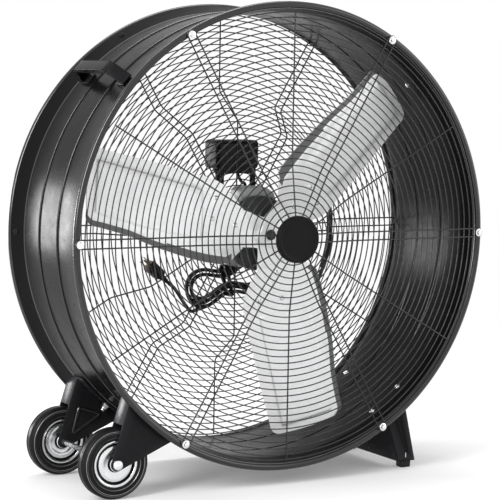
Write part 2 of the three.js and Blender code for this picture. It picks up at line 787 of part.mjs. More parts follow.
// A point round an oval with straight runs, drawn in at its waist. Phase 0 is the middle of the lower run, going
// left, and 0.75 is the right-hand end, going down.
function ovalPoint(phase, radius) {
  const run = 2 * HANK.half;
  const bend = Math.PI * radius;
  const d = (phase % 1) * 2 * (run + bend);
  let x = -d;
  let z = -radius;
  if (d >= HANK.half && d < HANK.half + bend) {
    const a = -Math.PI / 2 - (d - HANK.half) / radius;
    x = -HANK.half + radius * Math.cos(a);
    z = radius * Math.sin(a);
  } else if (d >= HANK.half + bend && d < HANK.half + bend + run) {
    x = d - 2 * HANK.half - bend;
    z = radius;
  } else if (d >= HANK.half + bend + run && d < HANK.half + 2 * bend + run) {
    const a = Math.PI / 2 - (d - HANK.half - bend - run) / radius;
    x = HANK.half + radius * Math.cos(a);
    z = radius * Math.sin(a);
  } else if (d >= HANK.half + 2 * bend + run) {
    x = 2 * (run + bend) - d;
  }
  const waist = Math.abs(x) < HANK.half ? (1 + Math.cos((Math.PI * x) / HANK.half)) / 2 : 0;
  return [x, z - Math.sign(z) * HANK.draw * waist];
}

function tilted([x, z], y) {
  const t = rad(HANK.tilt);
  return [HANK.x + x * Math.cos(t) - z * Math.sin(t), y, HANK.z + x * Math.sin(t) + z * Math.cos(t)];
}

// The hank's centre line: it winds inwards on one layer, climbs, and winds outwards on the next.
function hankPoints() {
  const count = Math.round(HANK.loops * PER_LOOP);
  const half = count / 2;
  const points = [];
  for (let i = 0; i <= count; i += 1) {
    const turns = Math.abs(i - half) / PER_LOOP;
    const radius = HANK.fold + HANK.step * Math.max(0, turns - 0.25);
    const climb = Math.min(1, Math.max(0, (i - half) / (PER_LOOP / 2) + 0.5));
    points.push(tilted(ovalPoint(HANK.start + i / PER_LOOP, radius), HANK_Y + LAYER * climb));
  }
  const down = rad(HANK.tilt - 90);
  const left = rad(HANK.tilt + 180);
  const [first, last] = [points[0], points[points.length - 1]];
  points.unshift([first[0] - CORD_D * Math.cos(down), first[1], first[2] - CORD_D * Math.sin(down)]);
  points.push([last[0] + CORD_D * Math.cos(left), last[1], last[2] + CORD_D * Math.sin(left)]);
  return points;
}

// One unbroken six-sided tube along points, with its end faces square to its ends.
function loopedTube(points, diameter) {
  const sides = 6;
  const path = points.map((p) => new THREE.Vector3(...p));
  const rings = path.map((p, i) => {
    const before = path[Math.max(0, i - 1)];
    const after = path[Math.min(path.length - 1, i + 1)];
    const ahead = after.clone().sub(before).normalize();
    const up = new THREE.Vector3(0, 1, 0);
    up.addScaledVector(ahead, -up.dot(ahead)).normalize();
    const out = new THREE.Vector3().crossVectors(ahead, up);
    return Array.from({ length: sides }, (_, k) => {
      const a = (2 * Math.PI * k) / sides;
      return p.clone().addScaledVector(up, (Math.cos(a) * diameter) / 2).addScaledVector(out, (Math.sin(a) * diameter) / 2);
    });
  });
  const positions = [];
  const face = (...corners) => corners.forEach((v) => positions.push(v.x, v.y, v.z));
  for (let i = 0; i + 1 < rings.length; i += 1) {
    for (let k = 0; k < sides; k += 1) {
      const n = (k + 1) % sides;
      face(rings[i][k], rings[i + 1][n], rings[i + 1][k]);
      face(rings[i][k], rings[i][n], rings[i + 1][n]);
    }
  }
  const last = rings[rings.length - 1];
  for (let k = 1; k + 1 < sides; k += 1) {
    face(rings[0][0], rings[0][k + 1], rings[0][k]);
    face(last[0], last[k], last[k + 1]);
  }
  const geometry = new THREE.BufferGeometry();
  geometry.setAttribute("position", new THREE.Float32BufferAttribute(positions, 3));
  return geometry;
}

// The least gap between stretches of the cord that lie at least half a turn apart.
function leastGap(points, diameter) {
  const fine = [];
  points.slice(1).forEach((p, i) => {
    for (let k = 0; k < 6; k += 1) fine.push(points[i].map((v, axis) => v + ((p[axis] - v) * k) / 6));
  });
  let least = Infinity;
  for (let i = 0; i < fine.length; i += 1) {
    for (let j = i + 60; j < fine.length; j += 1) {
      least = Math.min(least, Math.hypot(fine[i][0] - fine[j][0], fine[i][1] - fine[j][1], fine[i][2] - fine[j][2]));
    }
  }
  return least - diameter;
}

const pathLength = (points) =>
  points.slice(1).reduce((sum, p, i) => sum + Math.hypot(...p.map((v, axis) => v - points[i][axis])), 0);

// A flat band round the hank's waist and round one ring of the rear guard.
function cordTie() {
  const v = HANK.fold + HANK.step * (HANK.loops / 2 - 0.25) - HANK.draw + CORD_D / 2 + 1;
  const y0 = DISH_Y - WIRE / 2 - 0.5;
  const y1 = HANK_Y + LAYER + CORD_D / 2 + 0.5;
  const t = 1.5;
  const c = 3;
  const corners = (g) => [
    [-v - g, y0 - g + c], [-v - g + c, y0 - g], [v + g - c, y0 - g], [v + g, y0 - g + c],
    [v + g, y1 + g - c], [v + g - c, y1 + g], [-v - g + c, y1 + g], [-v - g, y1 + g - c],
  ];
  const shape = new THREE.Shape(corners(t).map(([a, b]) => new THREE.Vector2(a, b)));
  shape.holes.push(new THREE.Path(corners(0).map(([a, b]) => new THREE.Vector2(a, b))));
  const geometry = new THREE.ExtrudeGeometry(shape, { depth: 9, bevelEnabled: false });
  geometry.translate(0, 0, -4.5);
  const turn = new THREE.Matrix4().makeBasis(
    new THREE.Vector3(0, 0, 1),
    new THREE.Vector3(0, 1, 0),
    new THREE.Vector3(-1, 0, 0),
  );
  geometry.applyMatrix4(turn);
  geometry.rotateY(-rad(HANK.tilt));
  geometry.translate(HANK.x, 0, HANK.z);
  return geometry;
}

const GLAND = { x: -30, y: 94, length: 30 };

function cordGland() {
  const top = BOX.z0 - GAP;
  const geometry = turned(
    [[0, 0], [11, 0], [11, -7], [7.5, -9], [5, -GLAND.length], [0, -GLAND.length]].reverse(),
    16,
  );
  geometry.rotateX(Math.PI / 2);
  geometry.translate(GLAND.x, GLAND.y, top);
  return geometry;
}

// Down from the switch box behind the motor plates to the hank.
function cordRunPoints(hank) {
  const top = BOX.z0 - GAP - GLAND.length - GAP;
  const [s, n] = [hank[0], hank[1]];
  const back = (d) => s.map((value, axis) => value + ((s[axis] - n[axis]) / CORD_D) * d);
  return [
    [GLAND.x, GLAND.y, top],
    [GLAND.x, GLAND.y, top - 9],
    [GLAND.x, GLAND.y, top - 20],
    [-18, 94, 40],
    [12, 94, 0],
    [48, 89, -18],
    back(24),
    back(9),
    back(GAP),
  ];
}

const PLUG = { x: -164, z: -112, y: 76, angle: 140, taper: 18, body: 40, prong: 19 };

function cordTailPoints(hank) {
  const [e, p] = [hank[hank.length - 1], hank[hank.length - 2]];
  const on = (d) => e.map((value, axis) => value + ((e[axis] - p[axis]) / CORD_D) * d);
  const [dx, dz] = polar(1, PLUG.angle);
  const before = (d) => [PLUG.x - dx * d, PLUG.y, PLUG.z - dz * d];
  return [on(GAP), on(9), on(22), before(26), before(9), before(GAP)];
}

function alongPlug(geometry) {
  geometry.rotateZ(-Math.PI / 2);
  geometry.rotateY(-rad(PLUG.angle));
  geometry.translate(PLUG.x, PLUG.y, PLUG.z);
  return geometry;
}

function plugBody() {
  const taper = turned([[0, 0], [5, 0], [7.5, PLUG.taper + 1], [0, PLUG.taper + 1]], 12);
  const shape = [[-9, 0], [9, 0], [13, 12], [13, PLUG.body], [-13, PLUG.body], [-13, 12]];
  const outline = new THREE.Shape(shape.map(([a, b]) => new THREE.Vector2(a, b)));
  const body = new THREE.ExtrudeGeometry(outline, { depth: 23, bevelEnabled: false });
  body.translate(0, PLUG.taper, -11.5);
  return alongPlug(join([taper, body]));
}

function plugPins() {
  const start = PLUG.taper + PLUG.body + GAP;
  const bar = (x, z, w, d) => {
    const geometry = new THREE.BoxGeometry(w, PLUG.prong, d);
    geometry.translate(x, start + PLUG.prong / 2, z);
    return geometry;
  };
  const plate = new THREE.BoxGeometry(22, 1.5, 19);
  plate.translate(0, start + 0.75, 0);
  return alongPlug(join([plate, bar(-6.3, 4, 1.6, 6.4), bar(6.3, 4, 1.6, 6.4), bar(0, -6, 4.6, 4.6)]));
}

// The motor's supply lead, from under the switch box, through the guard and into the top of the motor.
const LEAD = [
  [12, 80, BOX.z0 - GAP],
  [12, 80, BOX.z0 - 9],
  [12, 72, 114],
  [12, 58, 104],
  [10, 44, 103],
  [6, 32, 96],
  [6, 29, 89],
  [6, 29, MOTOR_R + GAP + 0.2],
];

// ---- assembly -------------------------------------------------------------------------------------------
place("drum_shell", drumShell(), "blackPaint");
place("front_grille", frontGuard(), "wire");
place("front_hub_cap", hubCap(), "plastic");
place("rear_grille", rearGuard(), "wire");
for (let i = 0; i < 6; i += 1) {
  place(`front_screw_${i + 1}`, frontScrew(60 * i), "chrome");
  place(`rear_screw_${i + 1}`, rearScrew(60 * i), "blackPaint");
}
place("motor_body", motorBody(), "motorPaint");
place("motor_front_bell", motorFrontBell(), "castMotor");
place("motor_plate", motorPlate(), "blackPaint");
place("rear_plate", rearPlate(), "blackPaint");
place("control_box", slab(boxOutline(0), BOX_BACK_Y, BOX_FRONT_Y), "plastic");
place("control_lid", slab(boxOutline(2), BOX_BACK_Y + GAP + 2.5, BOX_BACK_Y + GAP), "plastic");
place("speed_knob", speedKnob(), "plastic");
place("motor_lead", tube(LEAD, 7, 6, 18), "rubber");

const hank = hankPoints();
const run = cordRunPoints(hank);
const tail = cordTailPoints(hank);
place("cord_gland", cordGland(), "rubber");
place("cord_run", tube(run, CORD_D, 6, 18), "rubber");
place("cord_hank", loopedTube(hank, CORD_D), "rubber");
place("cord_tie", cordTie(), "plastic");
place("cord_tail", tube(tail, CORD_D, 6, 10), "rubber");
place("plug_body", plugBody(), "rubber");
place("plug_pins", plugPins(), "brass");
console.log(
  `hank: least gap ${leastGap(hank, CORD_D).toFixed(2)} mm, length ${pathLength(hank).toFixed(0)} mm;`,
  `run ${pathLength(run).toFixed(0)} mm, tail ${pathLength(tail).toFixed(0)} mm`,
);

place("handle_left", handle(HANDLE_ANGLE), "blackPaint");
place("handle_right", handle(180 - HANDLE_ANGLE), "blackPaint");
[HANDLE_ANGLE, 180 - HANDLE_ANGLE].forEach((angle, i) => {
  place(`handle_bolt_${2 * i + 1}`, insideBolt(angle, -87), "chrome");
  place(`handle_bolt_${2 * i + 2}`, insideBolt(angle, 87), "chrome");
});

[["front", -1], ["rear", 1]].forEach(([end, side]) => {
  place(`wheel_fork_${end}`, wheelFork(side), "blackPaint");
  place(`fork_bolt_${end}`, forkBolt(side), "zinc");
  place(`axle_cap_${end}`, axleCap(side), "chrome");
  place(`tyre_${end}`, tyre(side * WHEEL_Y), "rubber");
  place(`wheel_disc_${end}`, wheelDisc(side * WHEEL_Y), "zinc");
  place(`foot_${end}`, foot(side), "rubber");
});
place("axle", axle(), "zinc");
place("leg_right", legRight(), "blackPaint");
[[-47, -111], [-57, -111], [-47, 105], [-57, 105]].forEach(([angle, y], i) => {
  place(`leg_bolt_${i + 1}`, insideBolt(angle, y), "chrome");
});

place("hub_spider", hubSpider(), "aluminium");
place("shaft_nut", shaftNut(), "castMotor");
for (let i = 0; i < 3; i += 1) place(`blade_${i + 1}`, blade(i), "aluminium");

// The frame's origin is on the ground, under the middle of the fan's depth.
const REAR_END_Y = ROLL_Y + ROLL_R * Math.sin(rad(68));
group.children.forEach((mesh) => mesh.geometry.translate(0, -(CAP_FACE_Y + REAR_END_Y) / 2, 0));

export default group;
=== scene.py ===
"""The looks of a two-wheeled drum fan: a steel drum between two wire guards, three stamped blades on a
direct-drive motor, bar handles, a wheel bracket at each left corner and a folded leg on the right.

Lengths are millimetres about the drum's axis: x to the right, y to the back, z up. place() turns them into the
frame's metres. The properties hold lengths in metres, as Blender shows them.
"""

import math

import bmesh
import bpy
from mathutils import Matrix, Vector


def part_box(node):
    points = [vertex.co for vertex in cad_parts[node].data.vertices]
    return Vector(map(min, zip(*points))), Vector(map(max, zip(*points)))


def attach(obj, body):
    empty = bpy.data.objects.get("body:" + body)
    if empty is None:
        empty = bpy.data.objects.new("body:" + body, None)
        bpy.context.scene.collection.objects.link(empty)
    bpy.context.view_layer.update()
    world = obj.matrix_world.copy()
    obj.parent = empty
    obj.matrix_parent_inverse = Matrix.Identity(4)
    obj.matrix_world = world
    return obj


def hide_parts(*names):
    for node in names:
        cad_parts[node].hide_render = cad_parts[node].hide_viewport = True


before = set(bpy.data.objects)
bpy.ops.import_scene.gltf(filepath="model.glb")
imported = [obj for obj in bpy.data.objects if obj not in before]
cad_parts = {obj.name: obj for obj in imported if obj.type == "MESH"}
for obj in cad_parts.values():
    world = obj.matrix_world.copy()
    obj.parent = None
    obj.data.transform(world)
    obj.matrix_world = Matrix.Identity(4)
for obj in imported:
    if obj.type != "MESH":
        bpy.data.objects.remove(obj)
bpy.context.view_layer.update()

bl_info = {
    "name": "Drum Fan",
    "version": (1, 0, 0),
    "blender": (4, 5, 0),
    "location": "3D View > Sidebar > Drum Fan",
    "description": "Builds the looks of a two-wheeled drum fan round its frame",
    "category": "Object",
}

MM = 0.001
FRAME, ROTOR, KNOB_BODY = "frame", "rotor", "knob"
ENDS = (("front", -1), ("rear", 1))


def centre_of(node):
    low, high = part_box(node)
    return (low + high) / 2


AXIS = centre_of("drum_shell")


def place(x, y, z):
    """A point in millimetres about the drum's axis, as a point of the frame in metres."""
    return Vector((x, y, z)) * MM + AXIS


def polar(r, degrees):
    a = math.radians(degrees)
    return r * math.cos(a), r * math.sin(a)


def clamp(value):
    return min(1.0, max(0.0, value))


def smooth(value):
    """0 below 0, 1 above 1, and a soft S between."""
    t = clamp(value)
    return t * t * (3 - 2 * t)


def along(value, table):
    """Straight-line reading between the pairs of a short table."""
    if value <= table[0][0]:
        return table[0][1]
    for (a, fa), (b, fb) in zip(table, table[1:]):
        if value <= b:
            return fa + (fb - fa) * (value - a) / (b - a)
    return table[-1][1]


# ---- sizes and colours that a user may change ------------------------------------------------------------


def length(name, description, default):
    return bpy.props.FloatProperty(
        name=name, description=description, default=default, min=0.0, unit="LENGTH", subtype="DISTANCE"
    )


def tint(name, description, default):
    return bpy.props.FloatVectorProperty(
        name=name, description=description, default=default, min=0.0, max=1.0, size=3, subtype="COLOR"
    )


class DrumFanSizes(bpy.types.PropertyGroup):
    drum_radius: length("Drum radius", "Outside of the drum's sheet", 0.480)
    sheet: length("Sheet", "Thickness of the drum's steel", 0.0016)
    bead: length("Bead height", "How far the two rolled beads stand out of the drum", 0.003)
    ring_wire: length("Ring wire", "Diameter of the guards' rings", 0.0026)
    spoke_wire: length("Spoke wire", "Diameter of the wires that run out from the hub", 0.0032)
    ring_pitch: length("Ring pitch", "Distance from one ring of the guards to the next", 0.01415)
    first_ring: length("First ring", "Radius of the guards' smallest ring", 0.0556)
    cord_diameter: length("Cord diameter", "Outside of the mains lead", 0.008)
    blade_sheet: length("Blade sheet", "Thickness of a blade", 0.002)
    blade_pitch: bpy.props.FloatProperty(
        name="Blade pitch",
        description="Turn of each blade out of the drum's plane",
        default=math.radians(18),
        subtype="ANGLE",
    )


class DrumFanColours(bpy.types.PropertyGroup):
    paint: tint("Black paint", "Powder coat of the drum, handles, brackets and leg", (0.0055, 0.0055, 0.006))
    wire: tint("Guard wire", "Enamel of the guards' wires", (0.005, 0.005, 0.0055))
    blade: tint("Blades", "Bare aluminium of the blades", (0.92, 0.925, 0.93))
    plating: tint("Plating", "Zinc plate of the wheel discs and the axle", (0.78, 0.79, 0.80))
    motor: tint("Motor", "Paint of the motor's barrel", (0.34, 0.345, 0.35))
    tyre: tint("Tyres", "Rubber of the tyres", (0.006, 0.006, 0.0065))
    floor: tint("Floor", "Plain pale floor", (0.80, 0.80, 0.80))


def sizes():
    return bpy.context.scene.drum_fan_sizes


def colours():
    return bpy.context.scene.drum_fan_colours


# ---- finishes --------------------------------------------------------------------------------------------


class Nodes:
    """A material's node tree, with the few steps that the finishes share."""

    def __init__(self, name):
        self.material = bpy.data.materials.new(name)
        self.material.use_nodes = True
        self.tree = self.material.node_tree
        self.shader = self.tree.nodes["Principled BSDF"]
        self.place = self.tree.nodes.new("ShaderNodeTexCoord").outputs["Object"]

    def set(self, **values):
        for socket, value in values.items():
            self.shader.inputs[socket.replace("_", " ")].default_value = value

    def stretched(self, scale):
        mapping = self.tree.nodes.new("ShaderNodeMapping")
        mapping.inputs["Scale"].default_value = scale
        self.tree.links.new(self.place, mapping.inputs["Vector"])
        return mapping.outputs["Vector"]

    def noise(self, scale, detail=3.0, roughness=0.55, stretch=None):
        node = self.tree.nodes.new("ShaderNodeTexNoise")
        node.inputs["Scale"].default_value = scale
        node.inputs["Detail"].default_value = detail
        node.inputs["Roughness"].default_value = roughness
        self.tree.links.new(self.stretched(stretch) if stretch else self.place, node.inputs["Vector"])
        return node.outputs["Fac"]

    def cells(self, scale):
        node = self.tree.nodes.new("ShaderNodeTexVoronoi")
        node.inputs["Scale"].default_value = scale
        self.tree.links.new(self.place, node.inputs["Vector"])
        return node.outputs["Distance"]

    def painted_edge_highlight(self):
        """Light where the surface turns outwards sharply: the mask of a painted highlight along edges."""
        geometry = self.tree.nodes.new("ShaderNodeNewGeometry")
        return self.spread(geometry.outputs["Pointiness"], 0.52, 0.60, 0.0, 1.0)

    def source(self, kind):
        """The pattern of a name, or a noise of a scale and a detail."""
        if kind == "edges":
            return self.painted_edge_highlight()
        if kind == "spark":
            return self.cells(1400)
        return self.noise(140, 4, 0.6, (1.0, 1.0, 9.0)) if kind == "rolled" else self.noise(*kind)

    def spread(self, source, low, high, to_low, to_high):
        node = self.tree.nodes.new("ShaderNodeMapRange")
        for socket, value in (("From Min", low), ("From Max", high), ("To Min", to_low), ("To Max", to_high)):
            node.inputs[socket].default_value = value
        self.tree.links.new(source, node.inputs["Value"])
        return node.outputs["Result"]

    def between(self, factor, first, second):
        node = self.tree.nodes.new("ShaderNodeMix")
        node.data_type = "RGBA"
        node.inputs["A"].default_value = (*first, 1)
        node.inputs["B"].default_value = (*second, 1)
        self.tree.links.new(factor, node.inputs["Factor"])
        return node.outputs["Result"]

    def colour(self, factor, first, second):
        self.tree.links.new(self.between(factor, first, second), self.shader.inputs["Base Color"])

    def roughness(self, source, low, high):
        self.tree.links.new(self.spread(source, 0.3, 0.7, low, high), self.shader.inputs["Roughness"])

    def bump(self, source, depth, strength):
        node = self.tree.nodes.new("ShaderNodeBump")
        node.inputs["Distance"].default_value = depth * MM
        node.inputs["Strength"].default_value = strength
        self.tree.links.new(source, node.inputs["Height"])
        self.tree.links.new(node.outputs["Normal"], self.shader.inputs["Normal"])


def lighter(colour, factor):
    return tuple(min(1.0, value * factor) for value in colour)


# Each finish: its two colours, or the name of a colour that a user may change and the factors that lighten it;
# the source that mixes them; the source and range of its roughness; the source, depth in mm and strength of its
# grain; its other sockets. A source is the scale and detail of a noise, or a name that Nodes.source knows.
FINISHES = {
    # Satin powder coat, faintly pebbled, with a painted highlight that lightens it along its sharp edges.
    "black_paint": (
        # The edges mix is a painted highlight: up to nine times lighter where the surface turns sharply.
        ("paint", 1, 9), "edges", ((35, 4), 0.2, 0.3), ((900, 2), 0.03, 0.4),
        {"Specular_IOR_Level": 0.055},
    ),
    # The same coat where it has flowed smooth and thick over the rolled rims.
    "rim_paint": (
        ("paint", 1, 1.6), (25, 3), ((35, 4), 0.14, 0.2), None,
        {"Specular_IOR_Level": 0.45, "Coat_Weight": 0.35, "Coat_Roughness": 0.06},
    ),
    # Dipped enamel on drawn wire.
    "guard_wire": (
        ("wire", 1, 1.8), (60,), ((120,), 0.12, 0.2), None,
        {"Specular_IOR_Level": 0.4, "Coat_Weight": 0.25, "Coat_Roughness": 0.05},
    ),
    # Bright plated screws and washers.
    "chrome": (((0.86, 0.87, 0.88), (0.93, 0.93, 0.93)), (300,), ((400,), 0.12, 0.22), None, {"Metallic": 1.0}),
    # Rolled sheet, with its grain out along the blade.
    "blade_aluminium": (
        ("blade", 0.93, 1.03), "rolled", ((22, 5), 0.38, 0.5), ("rolled", 0.02, 0.35), {"Metallic": 0.6},
    ),
    # The blade's turned flange, painted dark grey as the shade and dark reflection that it shows.
    "mill_edge": (
        ((0.11, 0.11, 0.113), (0.17, 0.17, 0.175)), (60, 4), ((90,), 0.4, 0.55), None,
        {"Metallic": 0.7, "Specular_IOR_Level": 0.3},
    ),
    # Pale, slightly clouded plating.
    "zinc_plate": (("plating", 0.94, 1.04), (90, 4), ((80,), 0.16, 0.24), None, {"Metallic": 0.95}),
    # Grey enamel over a rolled barrel.
    "motor_paint": (("motor", 0.85, 1.2), (40,), ((90,), 0.34, 0.48), ((700,), 0.03, 0.5), {"Metallic": 0.2}),
    # Painted casting: grainy, with a dull shine on its high spots.
    "cast_motor": (
        ((0.020, 0.021, 0.022), (0.055, 0.056, 0.058)), (150, 5), ((120,), 0.42, 0.6), ((420, 4), 0.15, 0.7),
        {"Specular_IOR_Level": 0.3},
    ),
    # Moulded plastic with a fine spark texture.
    "black_plastic": (
        ((0.004, 0.004, 0.0045), (0.008, 0.008, 0.009)), (70,), ((200,), 0.34, 0.46), ("spark", 0.03, 0.6),
        {"Specular_IOR_Level": 0.1},
    ),
    # Solid rubber, greyed by dust, with mould grain.
    "tyre_rubber": (
        ("tyre", 1, 2.1), (30, 6), ((60,), 0.28, 0.45), ((800, 3), 0.05, 0.6), {"Specular_IOR_Level": 0.1},
    ),
    # The tops of a tyre's moulded rings, painted light grey as a highlight.
    "rubbed_rubber": (
        ((0.10, 0.10, 0.10), (0.22, 0.22, 0.22)), (50,), ((60,), 0.16, 0.26), None,
        {"Specular_IOR_Level": 0.6},
    ),
    # Soft black rubber of the cord, its gland, the plug and the feet.
    "rubber": (
        ((0.005, 0.005, 0.005), (0.012, 0.012, 0.012)), (50, 4), ((90,), 0.48, 0.64), ((650, 2), 0.03, 0.5),
        {"Specular_IOR_Level": 0.25},
    ),
    # Brass prongs, browned by handling.
    "brass": (((0.09, 0.07, 0.04), (0.14, 0.11, 0.06)), (200,), ((300,), 0.2, 0.32), None, {"Metallic": 1.0}),
    # Pale ink of the dial's marks.
    "dial_ink": (((0.70, 0.70, 0.70), (0.82, 0.82, 0.82)), (400,), ((300,), 0.5, 0.6), None, {}),
}


def finish(name):
    """The material of a finish, made the first time that it is asked for."""
    made = bpy.data.materials.get(name)
    if made and made.get("finish"):
        return made
    tones, mix, (dull, low, high), grain, sockets = FINISHES[name]
    if isinstance(tones[0], str):
        tones = [lighter(getattr(colours(), tones[0]), factor) for factor in tones[1:]]
    nodes = Nodes(name)
    factor = nodes.source(mix)
    if mix == "rolled":
        factor = nodes.spread(factor, 0.35, 0.65, 0, 1)
    nodes.colour(factor, *tones)
    nodes.set(**sockets)
    nodes.roughness(nodes.source(dull), low, high)
    if grain:
        source, depth, strength = grain
        nodes.bump(nodes.source(source), depth, strength)
    nodes.material["finish"] = True
    return nodes.material


# ---- mesh making -----------------------------------------------------------------------------------------


SHARP = 38
ROUNDED_FROM = math.radians(28)


class Skin:
    """One mesh in the making, in millimetres about the drum's axis."""

    def __init__(self):
        self.bm = bmesh.new()

    def add(self, points, faces):
        verts = [self.bm.verts.new(p) for p in points]
        made = [self.bm.faces.new([verts[i] for i in face]) for face in faces]
        return verts, made

    def turned(self, profile, steps=64, centre=(0, 0)):
        """A profile of (radius, y) points turned about a line along y through a centre in x and z."""
        closed = profile[0] == profile[-1]
        rows = profile[:-1] if closed else profile
        points = []
        for r, y in rows:
            for k in range(steps):
                x, z = polar(r, 360 * k / steps)
                points.append((x + centre[0], y, z + centre[1]))
        count = len(rows)
        faces = []
        for i in range(count if closed else count - 1):
            j = (i + 1) % count
            for k in range(steps):
                n = (k + 1) % steps
                faces.append((i * steps + k, i * steps + n, j * steps + n, j * steps + k))
        return self.add(points, faces)

    def ring(self, radius, y, thickness, steps=160, sides=8):
        """A wire bent to a circle about the axis."""
        half = thickness / 2
        profile = [(radius + half * math.cos(a), y + half * math.sin(a)) for a in fractions(sides)]
        return self.turned([*profile, profile[0]], steps)

    def tube(self, path, thickness, sides=10, closed=False):
        """A round wire along a path. thickness is one number, or one for each point."""
        points = [Vector(p) for p in path]
        count = len(points)
        widths = thickness if hasattr(thickness, "__len__") else [thickness] * count
        tangents = []
        for i in range(count):
            before = points[i - 1] if i or closed else points[0]
            after = points[(i + 1) % count] if i + 1 < count or closed else points[-1]
            tangents.append((after - before).normalized())
        side = tangents[0].orthogonal().normalized()
        verts = []
        for i, (p, t) in enumerate(zip(points, tangents)):
            if i:
                side = tangents[i - 1].rotation_difference(t) @ side
            side = (side - t * side.dot(t)).normalized()
            other = t.cross(side)
            for a in fractions(sides):
                verts.append(p + (side * math.cos(a) + other * math.sin(a)) * widths[i] / 2)
        faces = []
        for i in range(count if closed else count - 1):
            j = (i + 1) % count
            for k in range(sides):
                n = (k + 1) % sides
                faces.append((i * sides + k, i * sides + n, j * sides + n, j * sides + k))
        if not closed:
            faces.append(tuple(range(sides)))
            faces.append(tuple((count - 1) * sides + k for k in range(sides)))
        return self.add(verts, faces)

    def slab(self, outline, y0, y1, rounding=0.0, steps=2):
        """An outline in x and z, made thick from y0 to y1, with its edges rounded."""
        return self.thick([(x, y, z) for y in (y0, y1) for x, z in outline], rounding, steps)

    def prism(self, outline, x0, x1, rounding=0.0, steps=2):
        """An outline in y and z, made thick from x0 to x1, with its edges rounded."""
        return self.thick([(x, y, z) for x in (x0, x1) for y, z in outline], rounding, steps)

    def thick(self, points, rounding, steps):
        """The solid between two copies of an outline."""
        count = len(points) // 2
        faces = [tuple(range(count)), tuple(range(count, 2 * count))]
        faces += [(i, (i + 1) % count, count + (i + 1) % count, count + i) for i in range(count)]
        return self.rounded(self.add(points, faces), rounding, steps)

    def sheet(self, near, far, wide):
        """A sheet of metal between two equal grids of points, with wide points in a row."""
        count, rows = len(near), len(near) // wide
        faces = []
        for i in range(rows - 1):
            for j in range(wide - 1):
                a, b = i * wide + j, (i + 1) * wide + j
                faces += [(a, a + 1, b + 1, b), (count + b, count + b + 1, count + a + 1, count + a)]
        rim = [*range(wide), *[i * wide + wide - 1 for i in range(1, rows)]]
        rim += [*range(count - 2, count - wide - 1, -1), *[i * wide for i in range(rows - 2, 0, -1)]]
        faces += [(a, b, count + b, count + a) for a, b in zip(rim, [*rim[1:], rim[0]])]
        return self.add([*near, *far], faces)

    def rounded(self, made, rounding, steps):
        faces = made[1]
        if rounding:
            bmesh.ops.recalc_face_normals(self.bm, faces=faces)
            edges = {e for f in faces for e in f.edges}
            sharp = [e for e in edges if e.is_manifold and e.calc_face_angle() > ROUNDED_FROM]
            bmesh.ops.bevel(self.bm, geom=sharp, offset=rounding, segments=steps, profile=0.5, affect="EDGES")
        return made

    def moved(self, made, matrix):
        """Moves what has just been added, when it wasn't rounded."""
        bmesh.ops.transform(self.bm, matrix=matrix, verts=made[0])

    def all_moved(self, matrix):
        bmesh.ops.transform(self.bm, matrix=matrix, verts=self.bm.verts)

    def mesh(self, name, sharp_angle=SHARP):
        bmesh.ops.remove_doubles(self.bm, verts=self.bm.verts, dist=1e-4)
        bmesh.ops.dissolve_degenerate(self.bm, dist=1e-5, edges=self.bm.edges)
        bmesh.ops.recalc_face_normals(self.bm, faces=self.bm.faces)
        self.all_moved(Matrix.Translation(AXIS) @ Matrix.Scale(MM, 4))
        mesh = bpy.data.meshes.new(name)
        self.bm.to_mesh(mesh)
        self.bm.free()
        mesh.shade_smooth()
        mesh.set_sharp_from_angle(angle=math.radians(sharp_angle))
        return mesh


def fractions(count):
    """Angles in radians, evenly round a circle."""
    return [2 * math.pi * (k + 0.5) / count for k in range(count)]


def piece(name, mesh, finish_name, body=FRAME, stands_for=(), second=None):
    """Puts a mesh in the scene with its finish, on the body that carries it."""
    thing = bpy.data.objects.new(name, mesh)
    bpy.context.scene.collection.objects.link(thing)
    mesh.materials.append(finish(finish_name))
    if second:
        mesh.materials.append(finish(second))
    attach(thing, body)
    if stands_for:
        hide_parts(*stands_for)
    return thing


def carved(thing, cutter_skin):
    """Cuts the cutter out of a piece."""
    cutter = bpy.data.objects.new("cutter", cutter_skin.mesh("cutter"))
    bpy.context.scene.collection.objects.link(cutter)
    modifier = thing.modifiers.new("recess", "BOOLEAN")
    modifier.operation = "DIFFERENCE"
    modifier.object = cutter
    modifier.solver = "EXACT"
    apply_modifiers(thing)
    bpy.data.objects.remove(cutter)


def apply_modifiers(thing):
    graph = bpy.context.evaluated_depsgraph_get()
    graph.update()
    made = bpy.data.meshes.new_from_object(thing.evaluated_get(graph))
    old = thing.data
    thing.modifiers.clear()
    thing.data = made
    made.name = old.name
    made.shade_smooth()
    made.set_sharp_from_angle(angle=math.radians(SHARP))
    bpy.data.meshes.remove(old)


def catmull(points, per_span):
    """A smooth centripetal curve through points."""
    pts = [Vector(p) for p in points]
    pts = [pts[0] * 2 - pts[1], *pts, pts[-1] * 2 - pts[-2]]
    out = []
    for i in range(1, len(pts) - 2):
        p = pts[i - 1 : i + 3]
        t = [0.0]
        for a, b in zip(p, p[1:]):
            t.append(t[-1] + max(1e-6, (b - a).length) ** 0.5)
        for k in range(per_span):
            s = t[1] + (t[2] - t[1]) * k / per_span
            a1 = p[0] * ((t[1] - s) / (t[1] - t[0])) + p[1] * ((s - t[0]) / (t[1] - t[0]))
            a2 = p[1] * ((t[2] - s) / (t[2] - t[1])) + p[2] * ((s - t[1]) / (t[2] - t[1]))
            a3 = p[2] * ((t[3] - s) / (t[3] - t[2])) + p[3] * ((s - t[2]) / (t[3] - t[2]))
            b1 = a1 * ((t[2] - s) / (t[2] - t[0])) + a2 * ((s - t[0]) / (t[2] - t[0]))
            b2 = a2 * ((t[3] - s) / (t[3] - t[1])) + a3 * ((s - t[1]) / (t[3] - t[1]))
            out.append(b1 * ((t[2] - s) / (t[2] - t[1])) + b2 * ((s - t[1]) / (t[2] - t[1])))
    out.append(pts[-2])
    return out


def arc(r, first, last, steps):
    """Points of an arc about the axis, in x and z, from one angle to another in degrees."""
    return [polar(r, first + (last - first) * i / steps) for i in range(steps + 1)]


